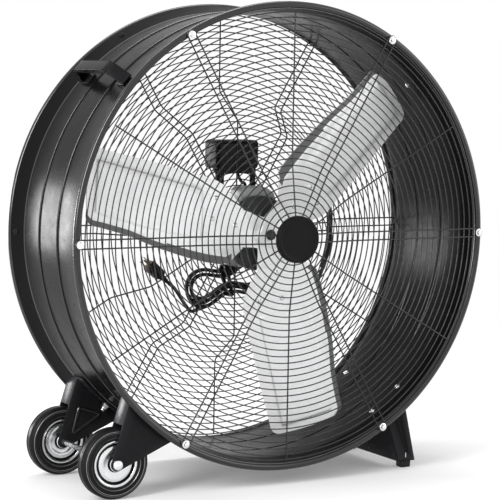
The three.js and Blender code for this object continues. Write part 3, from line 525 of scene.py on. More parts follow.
def curved_band(outer, inner, first, last, steps):
    """The outline of a strip bent about the axis, from one angle to another."""
    return arc(outer, first, last, steps) + arc(inner, last, first, steps)


def rectangle(x0, z0, x1, z1):
    return [(x0, z0), (x1, z0), (x1, z1), (x0, z1)]


def bend(before, corner, after, reach, steps):
    """A corner between two points, rounded from reach before it to reach after it."""
    p = Vector(corner)
    a = p + (Vector(before) - p).normalized() * reach
    b = p + (Vector(after) - p).normalized() * reach
    return [a * (1 - t) ** 2 + p * 2 * t * (1 - t) + b * t * t for t in (k / steps for k in range(steps + 1))]


def rotation(axis, degrees):
    return Matrix.Rotation(math.radians(degrees), 4, axis)


# ---- camera ----------------------------------------------------------------------------------------------

# Angles in radians and lengths in millimetres, except the far clip, which is metres.
CAMERA = {
    "azimuth": -0.514026,
    "elevation": 0.093882,
    "roll": 0.018231,
    "right": 1.2666,
    "up": -40.88,
    "distance": 4264.79,
    "lens": 139.5,
    "sensor": 36,
    "clip_end": 60,
}


class DRUMFAN_OT_camera(bpy.types.Operator):
    """Set the camera low, a little to the left of the fan's front"""

    bl_idname = "drumfan.camera"
    bl_label = "Camera"

    def execute(self, context):
        az, el, roll = (CAMERA[name] for name in ("azimuth", "elevation", "roll"))
        back = Vector((math.sin(az) * math.cos(el), -math.cos(az) * math.cos(el), math.sin(el)))
        level = (-back).cross(Vector((0, 0, 1))).normalized()
        upright = level.cross(-back)
        right = level * math.cos(roll) + upright * math.sin(roll)
        up = upright * math.cos(roll) - level * math.sin(roll)
        spot = back * CAMERA["distance"] + right * CAMERA["right"] + up * CAMERA["up"]
        data = bpy.data.cameras.new("camera")
        data.lens = CAMERA["lens"]
        data.sensor_width = CAMERA["sensor"]
        data.clip_end = CAMERA["clip_end"]
        camera = bpy.data.objects.new("camera", data)
        turn = Matrix((right, up, back)).transposed().to_4x4()
        camera.matrix_world = Matrix.Translation(place(*spot)) @ turn
        context.scene.collection.objects.link(camera)
        context.scene.camera = camera
        return {"FINISHED"}


# ---- cord ------------------------------------------------------------------------------------------------

GLAND = {"x": -30, "y": 94, "top": 133.7, "length": 30}
HANK = {
    "x": -15, "z": -115, "tilt": 13, "half": 62, "fold": 25, "step": 11.2, "draw": 17, "loops": 4.37,
    "start": 0.75, "y": 71.2, "layer": 9.4, "per_loop": 24,
}
PLUG = {"x": -164, "z": -112, "y": 76, "angle": 140, "taper": 18, "body": 40, "prong": 19}
LEAD = [(12, 80, 133.4), (12, 80, 125), (12, 72, 114), (12, 58, 104), (10, 44, 103), (6, 32, 96), (6, 29, 89),
        (6, 29, 81)]
LEAD_DIAMETER = 7
JOIN = 0.3  # the gap between the lead and what it runs into


def oval_point(phase, radius):
    """A point round an oval with straight runs, drawn in at its waist, from the middle of its lower run."""
    half, run, bend = HANK["half"], 2 * HANK["half"], math.pi * radius
    d = (phase % 1) * 2 * (run + bend)
    x, z = -d, -radius
    if half <= d < half + bend:
        a = -math.pi / 2 - (d - half) / radius
        x, z = -half + radius * math.cos(a), radius * math.sin(a)
    elif half + bend <= d < half + bend + run:
        x, z = d - 2 * half - bend, radius
    elif half + bend + run <= d < half + 2 * bend + run:
        a = math.pi / 2 - (d - half - bend - run) / radius
        x, z = half + radius * math.cos(a), radius * math.sin(a)
    elif d >= half + 2 * bend + run:
        x = 2 * (run + bend) - d
    waist = (1 + math.cos(math.pi * x / half)) / 2 if abs(x) < half else 0
    return x, z - math.copysign(1, z) * HANK["draw"] * waist


def hank_points(cord):
    """The hank's centre line: it winds inwards on one layer, climbs, and winds outwards on the next."""
    per_loop = HANK["per_loop"]
    count = round(HANK["loops"] * per_loop)
    tilt = math.radians(HANK["tilt"])
    points = []
    for i in range(count + 1):
        turns = abs(i - count / 2) / per_loop
        radius = HANK["fold"] + HANK["step"] * max(0, turns - 0.25)
        climb = clamp((i - count / 2) / (per_loop / 2) + 0.5)
        x, z = oval_point(HANK["start"] + i / per_loop, radius)
        points.append(
            Vector((
                HANK["x"] + x * math.cos(tilt) - z * math.sin(tilt),
                HANK["y"] + HANK["layer"] * climb,
                HANK["z"] + x * math.sin(tilt) + z * math.cos(tilt),
            ))
        )
    dx, dz = polar(cord, HANK["tilt"] - 90)
    points.insert(0, points[0] - Vector((dx, 0, dz)))
    dx, dz = polar(cord, HANK["tilt"] + 180)
    points.append(points[-1] + Vector((dx, 0, dz)))
    return points


def cord_path(cord):
    """One line from the gland by way of the hank to the plug."""
    hank = hank_points(cord)
    first, second, last, before = hank[0], hank[1], hank[-1], hank[-2]
    top = GLAND["top"] - GLAND["length"] - JOIN
    down = [Vector((GLAND["x"], GLAND["y"], top - d)) for d in (0, 9, 20)]
    across = [Vector(p) for p in ((-18, 94, 40), (12, 94, 0), (48, 89, -18))]
    back = [first + (first - second) / cord * d for d in (24, 9)]
    on = [last + (last - before) / cord * d for d in (9, 22)]
    dx, dz = polar(1, PLUG["angle"])
    plug = [Vector((PLUG["x"] - dx * d, PLUG["y"], PLUG["z"] - dz * d)) for d in (26, 9, JOIN)]
    points = [*down, *across, *back, *hank, *on, *plug]
    return catmull(points, 4)


def along_plug():
    """Turns what is drawn standing on +z to lie along the plug."""
    return Matrix.Translation((PLUG["x"], PLUG["y"], PLUG["z"])) @ rotation("Y", 90 - PLUG["angle"])


class DRUMFAN_OT_cord(bpy.types.Operator):
    """Lay the mains lead from the switch box into its hank, with gland, tie and plug"""

    bl_idname = "drumfan.cord"
    bl_label = "Mains lead"

    def execute(self, context):
        cord = sizes().cord_diameter / MM
        self.gland(cord)
        path = cord_path(cord)
        skin = Skin()
        skin.tube(path, cord, sides=14)
        nodes = ("cord_run", "cord_hank", "cord_tail")
        lead = piece("mains_lead", skin.mesh("mains_lead", 60), "rubber", stands_for=nodes)
        plug = self.plug(cord)
        pins = self.pins()
        tie = self.tie(cord)
        self.motor_lead()
        return {"FINISHED"}

    def gland(self, cord):
        """A nut under the box and a ribbed sleeve that narrows to the lead."""
        skin = Skin()
        rows = [(0.4, 0), (10.2, 0), (11, -0.8), (11, -6.2), (10.2, -7), (7.6, -7), (7.4, -9)]
        for i in range(5):
            z = -9.6 - 3.8 * i
            wide = 7.2 - 0.48 * i
            rows += [(wide, z), (wide, z - 2.2), (wide - 1.5, z - 2.5), (wide - 1.5, z - 3.5)]
        end = -GLAND["length"]
        rows += [(5, end + 1.2), (5, end), (cord / 2 + 0.05, end)]
        made = skin.turned(rows, 40)
        skin.moved(made, Matrix.Translation((GLAND["x"], GLAND["y"], GLAND["top"])) @ rotation("X", 90))
        piece("cord_sleeve", skin.mesh("cord_sleeve"), "rubber", stands_for=("cord_gland",))

    def plug(self, cord):
        """A moulded plug: a sleeve, a waisted grip with finger ribs, and a flat face."""
        skin = Skin()
        sleeve = [(cord / 2 + 0.05, 0.2), (4.9, 0), (5.1, 1)]
        for i in range(4):
            sleeve += [(5.2 + 0.5 * i, 2 + 4 * i), (5.5 + 0.5 * i, 4.4 + 4 * i), (4.7 + 0.5 * i, 4.8 + 4 * i)]
        sleeve += [(7.4, 19)]
        made = skin.turned(sleeve, 32)
        skin.moved(made, along_plug() @ rotation("X", 90))
        start, end = PLUG["taper"], PLUG["body"]
        outline = [(-8, 0), (8, 0), (11, 4), (12.6, 11), (12.2, 20), (13, 29), (13, end), (-13, end)]
        outline += [(-13, 29), (-12.2, 20), (-12.6, 11), (-11, 4)]
        body = Skin()
        body.slab([(x, z + start) for x, z in outline], -11.5, 11.5, 2.4, 3)
        for z in (12, 16, 20, 24):
            body.slab(rectangle(-8.5, start + z, 8.5, start + z + 2), -11.6, 11.6, 0.3, 1)
        body.all_moved(along_plug())
        mesh = bpy.data.meshes.new("grip")
        body.bm.to_mesh(mesh)
        body.bm.free()
        skin.bm.from_mesh(mesh)
        bpy.data.meshes.remove(mesh)
        return piece("plug_grip", skin.mesh("plug_grip"), "rubber", stands_for=("plug_body",))

    def pins(self):
        """Two flat blades and a round earth pin on a thin face plate."""
        start = PLUG["taper"] + PLUG["body"] + JOIN
        skin = Skin()
        skin.slab(rectangle(-11, start, 11, start + 1.5), -9.5, 9.5, 0.5, 2)
        tip = start + PLUG["prong"]
        for x in (-6.3, 6.3):
            blade = [(x - 0.8, start + 1), (x + 0.8, start + 1), (x + 0.8, tip - 1), (x + 0.4, tip),
                     (x - 0.4, tip), (x - 0.8, tip - 1)]
            skin.slab(blade, 0.8, 7.2, 0.4, 2)
        earth = [(0.2, start + 1), (2.3, start + 1), (2.3, tip - 3), (1.6, tip - 0.6), (0.2, tip)]
        made = skin.turned([(r, -z) for r, z in earth], 20)
        skin.moved(made, Matrix.Translation((0, -6, 0)) @ rotation("X", -90))
        skin.all_moved(along_plug())
        return piece("plug_prongs", skin.mesh("plug_prongs"), "brass", stands_for=("plug_pins",))

    def tie(self, cord):
        """A flat band round the hank's waist and one ring of the rear guard, with its catch."""
        waist = HANK["fold"] + HANK["step"] * (HANK["loops"] / 2 - 0.25) - HANK["draw"] + cord / 2 + 1
        y0, y1 = 60.2, HANK["y"] + HANK["layer"] + cord / 2 + 0.5
        thick, corner, half = 1.5, 3, 4.5

        def loop(grow):
            v, a, b = waist + grow, y0 - grow, y1 + grow
            return [(a, -v + corner), (a, v - corner), (a + corner, v), (b - corner, v),
                    (b, v - corner), (b, -v + corner), (b - corner, -v), (a + corner, -v)]

        skin = Skin()
        inner, outer = loop(0), loop(thick)
        points = [(x, y, z) for x in (-half, half) for side in (inner, outer) for y, z in side]
        faces = []
        for k in range(8):
            n = (k + 1) % 8
            faces += [(k, n, 8 + n, 8 + k), (16 + k, 16 + n, 24 + n, 24 + k)]
            faces += [(k, n, 16 + n, 16 + k), (8 + k, 8 + n, 24 + n, 24 + k)]
        skin.rounded(skin.add(points, faces), 0.3, 1)
        skin.prism(rectangle(y1 - 0.5, 8, y1 + 1.5, 17), -half, half, 0.3, 1)
        skin.all_moved(Matrix.Translation((HANK["x"], 0, HANK["z"])) @ rotation("Y", -HANK["tilt"]))
        return piece("hank_tie", skin.mesh("hank_tie"), "black_plastic", stands_for=("cord_tie",))

    def motor_lead(self):
        """The sheathed lead from under the switch box into the top of the motor."""
        path = catmull(LEAD, 8)
        skin = Skin()
        skin.tube(path, LEAD_DIAMETER, sides=14)
        lead = piece("motor_supply", skin.mesh("motor_supply", 60), "rubber", stands_for=("motor_lead",))


# ---- drum ------------------------------------------------------------------------------------------------

FLARE_Y = 128
ROLL = {"radius": 7.5, "flat": 6.92, "centre": 492.5, "y": 170}
BEAD_Y = 47
# Where the coat is smooth: on the rolled rims, and this far each side of a bead or a fold.
GLOSSY = {"rim_y": 160, "rim_r": 485, "half": 1.6}


def roll_points(side):
    """The rolled rim, round its own centre, open towards the sheet."""
    points = []
    for i in range(29):
        a = math.radians(60 - 320 * i / 28)
        y = ROLL["flat"] * math.sin(a) - ROLL["y"]
        points.append((ROLL["centre"] + ROLL["radius"] * math.cos(a), side * y))
    return points


def bead_points(y, r, height):
    """A rounded bead, with a line close to each side that keeps the sheet next to it flat."""
    crown = [(r + height * (1 + math.cos(math.pi * d / 4)) / 2, y + d) for d in (-4, -3, -2, -1, 0, 1, 2, 3, 4)]
    return [(r, y - 5.4), (r, y - 4.6), *crown, (r, y + 4.6), (r, y + 5.4)]


class DRUMFAN_OT_drum(bpy.types.Operator):
    """Roll the drum: its sheet, two beads, the flares and their rolled rims"""

    bl_idname = "drumfan.drum"
    bl_label = "Drum"

    def execute(self, context):
        size = sizes()
        outer, sheet, bead = size.drum_radius / MM, size.sheet / MM, size.bead / MM
        inner = outer - sheet
        profile = [
            *reversed(roll_points(1)),
            (outer + 0.9, -FLARE_Y - 1.6),
            (outer, -FLARE_Y + 1.5),
            *bead_points(-BEAD_Y, outer, bead),
            *bead_points(BEAD_Y, outer, bead),
            (outer, FLARE_Y - 1.5),
            (outer + 0.9, FLARE_Y + 1.6),
            *roll_points(-1),
            (inner + 0.9, FLARE_Y + 1.6),
            (inner, FLARE_Y - 1.5),
            *reversed(bead_points(BEAD_Y, inner, bead)),
            *reversed(bead_points(-BEAD_Y, inner, bead)),
            (inner, -FLARE_Y + 1.5),
            (inner + 0.9, -FLARE_Y - 1.6),
        ]
        skin = Skin()
        _, faces = skin.turned([*profile, profile[0]], 256)
        for face in faces:
            middle = face.calc_center_median()
            r, y = math.hypot(middle.x, middle.z), abs(middle.y)
            on_rim = y > GLOSSY["rim_y"] and r > GLOSSY["rim_r"]
            on_fold = r > outer and any(abs(y - at) < GLOSSY["half"] for at in (BEAD_Y, FLARE_Y))
            face.material_index = int(on_rim or on_fold)
        piece("drum", skin.mesh("drum", 30), "black_paint", stands_for=("drum_shell",), second="rim_paint")
        return {"FINISHED"}


# ---- guards ----------------------------------------------------------------------------------------------

OUTER_RING = 477
LAST_RING = 29
PAIR_HALF = 9
SCREW_R = 489
FRONT_Y = -179.1
HUB_Y = -199.4
DOME = [(40, HUB_Y), (158, FRONT_Y - 0.6), (170, FRONT_Y), (OUTER_RING, FRONT_Y)]
DISH = [(74, 62), (236, 62), (244, 66), (303, 146), (312, 150), (OUTER_RING, 150)]


def ring_radii():
    size = sizes()
    first, pitch = size.first_ring / MM, size.ring_pitch / MM
    return [first + pitch * k for k in range(LAST_RING + 1)] + [OUTER_RING]


def guard(name, form, set_back, inner, pair_end, loop_centre, stands_for):
    """Rings welded to wires that run out from the hub: bent pairs every 60 degrees, single wires between."""
    ring_wire, spoke_wire = sizes().ring_wire / MM, sizes().spoke_wire / MM
    skin = Skin()
    for r in ring_radii():
        if r > inner:
            skin.ring(r, along(r, form) + set_back, ring_wire, steps=128 if r < 200 else 224)
    stations = [r for r in (inner - 12, *[r for r, _ in form[1:-1]], 330, 400, pair_end) if r >= inner - 12]
    for k in range(12):
        turn = rotation("Y", -30 * k)
        if k % 2:
            path = [(r, along(r, form), 0) for r in [*stations[:-1], OUTER_RING]]
            skin.moved(skin.tube(path, spoke_wire), turn)
            continue
        out = [(math.sqrt(r * r - PAIR_HALF**2), along(r, form), -PAIR_HALF) for r in stations]
        y = along(pair_end, form)
        bend = [(loop_centre + PAIR_HALF * math.cos(a), y, PAIR_HALF * math.sin(a))
                for a in (math.radians(d) for d in range(-90, 91, 15))]
        path = [*out, *bend, *[(x, y_, PAIR_HALF) for x, y_, _ in reversed(out)]]
        skin.moved(skin.tube(path, spoke_wire), turn)
    return piece(name, skin.mesh(name, 60), "guard_wire", stands_for=stands_for)


class DRUMFAN_OT_guards(bpy.types.Operator):
    """Weld the front guard with its domed middle and the rear guard with its dish"""

    bl_idname = "drumfan.guards"
    bl_label = "Wire guards"

    def execute(self, context):
        guard("front_guard", DOME, 2.5, 50, 480, SCREW_R, ("front_grille",))
        guard("rear_guard", DISH, -2.5, 79, 466, 474, ("rear_grille",))
        self.strap()
        return {"FINISHED"}

    def strap(self):
        """A curved strap tied behind the rings on the right of the motor."""
        skin = Skin()
        skin.slab(curved_band(268, 252, -22, 7, 24), 84, 86, 0.5, 1)
        piece("guard_strap", skin.mesh("guard_strap"), "black_paint")


# ---- screws ----------------------------------------------------------------------------------------------


def shared(name, first, turns, finish_name, nodes, body=FRAME, second=None):
    """The same mesh in several places. turns are matrices about the drum's axis, in the frame."""
    for i, turn in enumerate(turns):
        piece_mesh = first.copy()
        piece_mesh.transform(turn)
        piece(f"{name}_{i + 1}", piece_mesh, finish_name, body, nodes[i], second)


def about_axis(degrees):
    """A turn about the drum's axis, in the frame's metres."""
    return Matrix.Translation(AXIS) @ rotation("Y", -degrees) @ Matrix.Translation(-AXIS)


def pan_screw(seat, centre):
    """A pan-head screw on its washer, head towards the front."""
    washer = 8.4
    skin = Skin()
    skin.turned([(2.2, seat), (washer - 0.3, seat), (washer, seat - 0.3), (washer, seat - 1.1),
                 (washer - 0.4, seat - 1.4), (5.9, seat - 1.4), (5.6, seat - 1.9), (5.5, seat - 3.8),
                 (5.0, seat - 5.1), (3.6, seat - 5.9), (1.6, seat - 6.2), (0.001, seat - 6.25)], 40, centre)
    skin.turned([(2.6, seat - 1), (2.6, seat + 3), (0.001, seat + 3)], 24, centre)
    return skin.mesh("pan_screw", 30)


def cross_recess(seat, centre):
    """The cutter of a screw's cross recess."""
    x, z = centre
    skin = Skin()
    for wide, tall in ((0.75, 3.2), (3.2, 0.75)):
        skin.slab(rectangle(x - wide, z - tall, x + wide, z + tall), seat - 9, seat - 3.9)
    return skin


class DRUMFAN_OT_screws(bpy.types.Operator):
    """Fix the front guard with washered screws and the rear guard with button heads"""

    bl_idname = "drumfan.screws"
    bl_label = "Guard screws"

    def execute(self, context):
        seat = FRONT_Y - 1.7
        for i in range(6):
            centre = polar(SCREW_R, 60 * i)
            nodes = (f"front_screw_{i + 1}",)
            screw = piece(f"guard_screw_{i + 1}", pan_screw(seat, centre), "chrome", stands_for=nodes)
            carved(screw, cross_recess(seat, centre))
            self.button(i)
        return {"FINISHED"}

    def button(self, i):
        """A button head with a socket, square to the rear flare."""
        end_r = ROLL["centre"] + ROLL["radius"] * math.cos(math.radians(60))
        end_y = ROLL["y"] - ROLL["radius"] * math.sin(math.radians(60))
        outer = sizes().drum_radius / MM
        slope = math.atan2(end_r - outer, end_y - FLARE_Y)
        at, socket = 150, 1.9
        radius = outer + (at - FLARE_Y) * math.tan(slope)
        skin = Skin()
        made = skin.turned([(0.001, 0.4), (6, 0.4), (6.1, 0.8), (5.9, 1.6), (5, 2.7), (3.6, 3.5),
                            (socket + 0.5, 3.8), (socket, 3.8), (socket, 1.8), (0.001, 1.8)], 36)
        turn = rotation("Y", -60 * i) @ Matrix.Translation((radius, at, 0))
        skin.moved(made, turn @ Matrix.Rotation(-math.pi / 2 - slope, 4, "Z"))
        nodes = (f"rear_screw_{i + 1}",)
        piece(f"flare_screw_{i + 1}", skin.mesh("flare_screw", 30), "black_paint", stands_for=nodes)


# ---- hub cap ---------------------------------------------------------------------------------------------


class DRUMFAN_OT_hub_cap(bpy.types.Operator):
    """Press the round cap over the front guard's middle"""

    bl_idname = "drumfan.hub_cap"
    bl_label = "Hub cap"

    def execute(self, context):
        face, back = -215, -201
        skin = Skin()
        skin.turned([
            (0.001, face + 2.2), (24, face + 2.4), (38, face + 2.8), (41.5, face + 2.6), (43, face + 1.4),
            (44.2, face + 0.4), (45.6, face), (47.2, face + 0.2), (48.8, face + 1.2), (49.7, face + 2.6),
            (50, face + 4.5), (50, back - 1), (49.6, back - 0.3), (48.8, back), (44, back), (44, back - 2),
            (0.001, back - 2),
        ], 128)
        piece("hub_cover", skin.mesh("hub_cover", 40), "black_plastic", stands_for=("front_hub_cap",))
        return {"FINISHED"}


# ---- motor -----------------------------------------------------------------------------------------------

MOTOR = {"radius": 80, "front": -60, "bell_back": -36, "back": 57.1, "plate": 78, "plate_y": 63.6}
BOX = {"x0": -50, "x1": 57, "z0": 134, "z1": 198, "front": 66.9, "back": 119.9}
KNOB = {"x": 3, "z": 166, "radius": 17, "y": 123}


class DRUMFAN_OT_motor(bpy.types.Operator):
    """Build the motor: its front casting, grooved barrel, terminal cover and the two clamp plates"""

    bl_idname = "drumfan.motor"
    bl_label = "Motor"

    def execute(self, context):
        self.bell()
        self.barrel()
        self.terminal_cover()
        self.plates()
        return {"FINISHED"}

    def bell(self):
        """The front casting: a hub, a ribbed face with four bolts and a short skirt."""
        front, back, r = MOTOR["front"], MOTOR["bell_back"], MOTOR["radius"] + 2
        skin = Skin()
        skin.turned([
            (8.4, front - 4), (20.5, front - 4), (22, front - 3.4), (23.6, front + 0.4), (25, front + 1.2),
            (56, front + 4.6), (59, front + 5.4), (77, front + 12), (r - 1, front + 14), (r, front + 16.5),
            (r, back - 0.6), (r - 0.6, back), (14, back), (14, front + 14), (8.4, front + 14), (8.4, front - 4),
        ], 96)
        for k in range(8):
            rib = [(front + 2, 26), (front + 9, 60), (front + 12, 74), (front + 18, 74), (front + 12, 26)]
            skin.moved(skin.prism(rib, -1.6, 1.6), rotation("Y", 45 * k + 22.5))
        for k in range(4):
            x, z = polar(70, 45 + 90 * k)
            skin.turned([(0.001, front + 5), (4.6, front + 5), (5, front + 5.6), (5, front + 12)], 6, (x, z))
        mesh = skin.mesh("motor_front_casting", 32)
        piece("motor_front_casting", mesh, "cast_motor", stands_for=("motor_front_bell",))

    def terminal_cover(self):
        """A small cast cover on top of the barrel, over the supply lead's terminals."""
        skin = Skin()
        skin.slab([(-36, 66), (-38, 92), (-30, 99), (24, 99), (44, 86), (50, 66)], -30, 21, 2.5, 2)
        skin.slab(rectangle(-26, 97.5, 18, 100.5), -22, 13, 1, 2)
        for x in (-32, 34):
            skin.turned([(0.001, -33.4), (3.4, -33.4), (3.8, -33), (3.8, -29)], 6, (x, 80))
        piece("terminal_cover", skin.mesh("terminal_cover", 30), "motor_paint")

    def barrel(self):
        """A rolled barrel behind the front casting, with shallow grooves and a raised band at its back."""
        r, start, back = MOTOR["radius"], MOTOR["bell_back"] + 0.3, MOTOR["back"]
        skin = Skin()
        profile = [(0.001, start), (r - 1, start), (r, start + 1)]
        for y in (start + 12, start + 20, back - 40, back - 32):
            profile += [(r, y - 2), (r - 0.9, y - 0.8), (r - 0.9, y + 0.8), (r, y + 2)]
        profile += [(r, back - 22), (r + 2, back - 21.4), (r + 2, back - 10.6), (r + 1.2, back - 9.4),
                    (r - 12, back - 0.6), (r - 14, back), (0.001, back)]
        skin.turned(profile, 96)
        piece("motor_barrel", skin.mesh("motor_barrel", 30), "motor_paint", stands_for=("motor_body",))

    def plates(self):
        """Round plates on both sides of the rear guard; the rear one reaches up behind the switch box."""
        skin = Skin()
        self.round_plate(skin, MOTOR["plate_y"] - 6.2)
        piece("clamp_plate_front", skin.mesh("clamp_plate_front"), "black_paint", stands_for=("motor_plate",))
        y = MOTOR["plate_y"]
        skin = Skin()
        self.round_plate(skin, y)
        x0, x1, z0, z1 = BOX["x0"] + 8, BOX["x1"] - 8, BOX["z0"] - 10, BOX["z1"] - 8
        skin.slab(rectangle(x0, z0, x1, z1), y + 0.05, y + 2.95, 0.4)
        for a, b in ((x0 + 2, x0 + 11), (x1 - 14, x1)):
            skin.slab(rectangle(a, 58, b, z0 + 4), y + 0.1, y + 2.9, 0.4)
        washer = [(0.001, y + 2.5), (8.6, y + 2.5), (8.8, y + 3), (8.8, y + 4.2), (0.001, y + 4.2)]
        nut = [(0.001, y + 4), (6.6, y + 4), (7, y + 4.6), (7, y + 9.6), (6.4, y + 10.4), (4.2, y + 10.5),
               (3.8, y + 10.3), (3.8, y + 12), (0.001, y + 12.4)]
        for k in range(4):
            at = polar(50, 45 + 90 * k)
            skin.turned(washer, 28, at)
            skin.turned(nut, 6, at)
        piece("clamp_plate_rear", skin.mesh("clamp_plate_rear", 32), "black_paint", stands_for=("rear_plate",))

    def round_plate(self, skin, y):
        r, thick = MOTOR["plate"], 3
        skin.turned([(0.001, y), (r - 0.5, y), (r, y + 0.5), (r, y + thick - 0.5), (r - 0.5, y + thick),
                     (0.001, y + thick)], 96)


def box_outline(inset):
    """The switch box seen from behind, with round corners."""
    corner = 9.0
    x0, x1 = BOX["x0"] + inset, BOX["x1"] - inset
    z0, z1 = BOX["z0"] + inset, BOX["z1"] - inset
    points = []
    for cx, cz, first in ((x1 - corner, z1 - corner, 0), (x0 + corner, z1 - corner, 90),
                          (x0 + corner, z0 + corner, 180), (x1 - corner, z0 + corner, 270)):
        for k in range(6):
            dx, dz = polar(corner, first + 18 * k)
            points.append((cx + dx, cz + dz))
    return points


class DRUMFAN_OT_switch_box(bpy.types.Operator):
    """Mould the switch box behind the motor, with its lid, four screws and speed knob"""

    bl_idname = "drumfan.switch_box"
    bl_label = "Switch box"

    def execute(self, context):
        front, back = BOX["front"], BOX["back"]
        skin = Skin()
        skin.slab(box_outline(0.01), front, back, 1.2, 3)
        for k in range(4):
            z = BOX["z0"] + 14 + 12 * k
            for x in (BOX["x0"], BOX["x1"]):
                inwards = 0.8 if x < 0 else -0.8
                skin.slab(rectangle(x, z, x + inwards, z + 1.6), front + 6, back - 8)
        piece("switch_box", skin.mesh("switch_box"), "black_plastic", stands_for=("control_box",))
        skin = Skin()
        skin.slab(box_outline(2), back + 0.3, back + 2.8, 0.7, 3)
        piece("switch_lid", skin.mesh("switch_lid"), "black_plastic", stands_for=("control_lid",))
        skin = Skin()
        y = back + 2.8
        dome = [(3.4, y - 0.2), (3.4, y + 0.5), (2.8, y + 1.2), (1.2, y + 1.5), (0.001, y + 1.5)]
        for x in (BOX["x0"] + 11, BOX["x1"] - 11):
            for z in (BOX["z0"] + 11, BOX["z1"] - 11):
                skin.turned(dome, 24, (x, z))
        piece("lid_screws", skin.mesh("lid_screws"), "chrome")
        self.marks()
        self.knob()
        return {"FINISHED"}

    def marks(self):
        """A short line on the lid for off and each of three speeds."""
        skin = Skin()
        for degrees in (90, 50, 10, -30):
            start, half = KNOB["radius"] + 2.5, 0.6
            end = start + (4.5 if degrees == 90 else 3.2)
            c, s = polar(1, degrees)
            corners = ((start, half), (start, -half), (end, -half), (end, half))
            outline = [(KNOB["x"] + c * u - s * v, KNOB["z"] + s * u + c * v) for u, v in corners]
            skin.slab(outline, BOX["back"] + 2.7, BOX["back"] + 2.95)
        piece("dial_marks", skin.mesh("dial_marks"), "dial_ink")

    def knob(self):
        """A low skirted knob with a pointed grip across it and a line on the grip."""
        x, z, r, y = KNOB["x"], KNOB["z"], KNOB["radius"], KNOB["y"]
        skin = Skin()
        skin.turned([(0.001, y), (r - 0.4, y), (r, y + 0.4), (r, y + 1.4), (r - 0.6, y + 2), (r - 2, y + 6.4),
                     (r - 3, y + 7), (0.001, y + 7)], 64, (x, z))
        grip = [(x - 3.5, z - r + 4), (x + 3.5, z - r + 4), (x + 3.5, z + r - 4), (x, z + r - 2),
                (x - 3.5, z + r - 4)]
        skin.slab(grip, y + 6, y + 17, 1.0, 3)
        piece("knob_grip", skin.mesh("knob_grip"), "black_plastic", body=KNOB_BODY, stands_for=("speed_knob",))
        skin = Skin()
        skin.slab(rectangle(x - 0.6, z + 3, x + 0.6, z + r - 4.6), y + 16.8, y + 17)
        piece("knob_line", skin.mesh("knob_line"), "dial_ink", body=KNOB_BODY)


# ---- rotor -----------------------------------------------------------------------------------------------

ROTOR_Y = -86
BLADE_ANGLE = 48
BLADE_FRONT = [(66, 44), (92, 74), (107, 84), (150, 86), (190, 85), (271, 78), (343, 65), (400, 61), (440, 60)]
BLADE_BACK = [(66, -42), (92, -68), (122, -91), (148, -98), (223, -101), (298, -105), (388, -106), (440, -108)]
BLADE_END = {"u": 440, "corner": 20, "bulge": 4}
FLANGE = {"width": 15, "drop": 12, "begins": 96, "over": 16, "fades": 130, "fade_over": 220, "faded": 0.65}
SHADED_COLUMNS = {"until": 250, "near": 4, "far": 3}  # how much of a blade's front edge is painted dark as shade
PANEL_BACK = [(160, -66), (186, -71), (300, -77), (414, -83), (425, -84)]
PANEL_FRONT = [(160, 45), (313, 45), (382, 38), (425, 35)]
PANEL = {"start": 166, "end": 424, "rise": 2.8, "edge": 5.0}
RIVETS = [(136, -56), (86, -5), (144, -8)]
ARM_FRONT = [(16, 34), (40, 36), (66, 40), (85, 40), (110, 38), (140, 32), (158, 24), (165, 14)]
ARM_BACK = [(16, -36), (40, -40), (66, -44), (85, -54), (110, -64), (140, -67), (158, -66), (165, -58)]


def blade_point(u, s, lift):
    """A point of the first blade: u out along it, s across it to its front edge, lift to the rear."""
    pitch = sizes().blade_pitch
    across = s * math.cos(pitch) + lift * math.sin(pitch)
    ahead = s * math.sin(pitch) - lift * math.cos(pitch)
    c, n = polar(1, BLADE_ANGLE)
    return u * c - across * n, ROTOR_Y - ahead, u * n + across * c


def blade_edges(u):
    """The blade's front and back edge at u, drawn in round the tip's corners."""
    past = max(0.0, u - (BLADE_END["u"] - BLADE_END["corner"]))
    inset = BLADE_END["corner"] - math.sqrt(max(0.0, BLADE_END["corner"] ** 2 - past**2))
    return along(u, BLADE_FRONT) - inset, along(u, BLADE_BACK) + inset


def blade_lift(u, s, front):
    """How far the sheet is bent out of its plane: the flange to the rear, the panel to the front."""
    begun = smooth((u - FLANGE["begins"]) / FLANGE["over"])
    fold = max(0.0, s - (front - FLANGE["width"]))
    begun *= 1 - FLANGE["faded"] * smooth((u - FLANGE["fades"]) / FLANGE["fade_over"])
    flange = begun * FLANGE["drop"] * fold / FLANGE["width"]
    edge = PANEL["edge"]
    lean = PANEL["start"] + 0.04 * abs(s + 5)
    inside = smooth((u - lean) / edge) * smooth((PANEL["end"] - u) / edge)
    inside *= smooth((s - along(u, PANEL_BACK)) / edge) * smooth((along(u, PANEL_FRONT) - s) / edge)
    return flange - PANEL["rise"] * inside


def blade_rows():
    """Distances from the axis of the blade's rows of points, close together where it bends."""
    rows = [66, 80, 92, 99, 107, 120, 135, 150, 160, 165, 167, 169, 171, 173, 176]
    rows += [190 + 15 * k for k in range(15)]
    rows += [414, 418, 420, 422, 424, 427, 430, 433, 435.5, 437.5, 439, 439.8]
    return rows


def blade_columns(u):
    """The front edge at u, and the places across the blade of that row's points."""
    front, back = blade_edges(u)
    pb, pf, fold = along(u, PANEL_BACK), along(u, PANEL_FRONT), front - FLANGE["width"]
    pb, pf = max(back + 4, pb), min(fold - 8, pf)
    edge = PANEL["edge"]
    columns = [back + (pb - back) * k / 3 for k in range(3)]
    columns += [pb + edge * k / 4 for k in range(5)]
    inner, outer = pb + edge, pf - edge
    columns += [inner + (outer - inner) * k / 8 for k in range(1, 8)]
    columns += [outer + edge * k / 4 for k in range(5)]
    columns += [pf + (fold - pf) * 0.5, fold - 0.8, fold + 0.8, fold + 4, front - 2, front]
    return front, columns


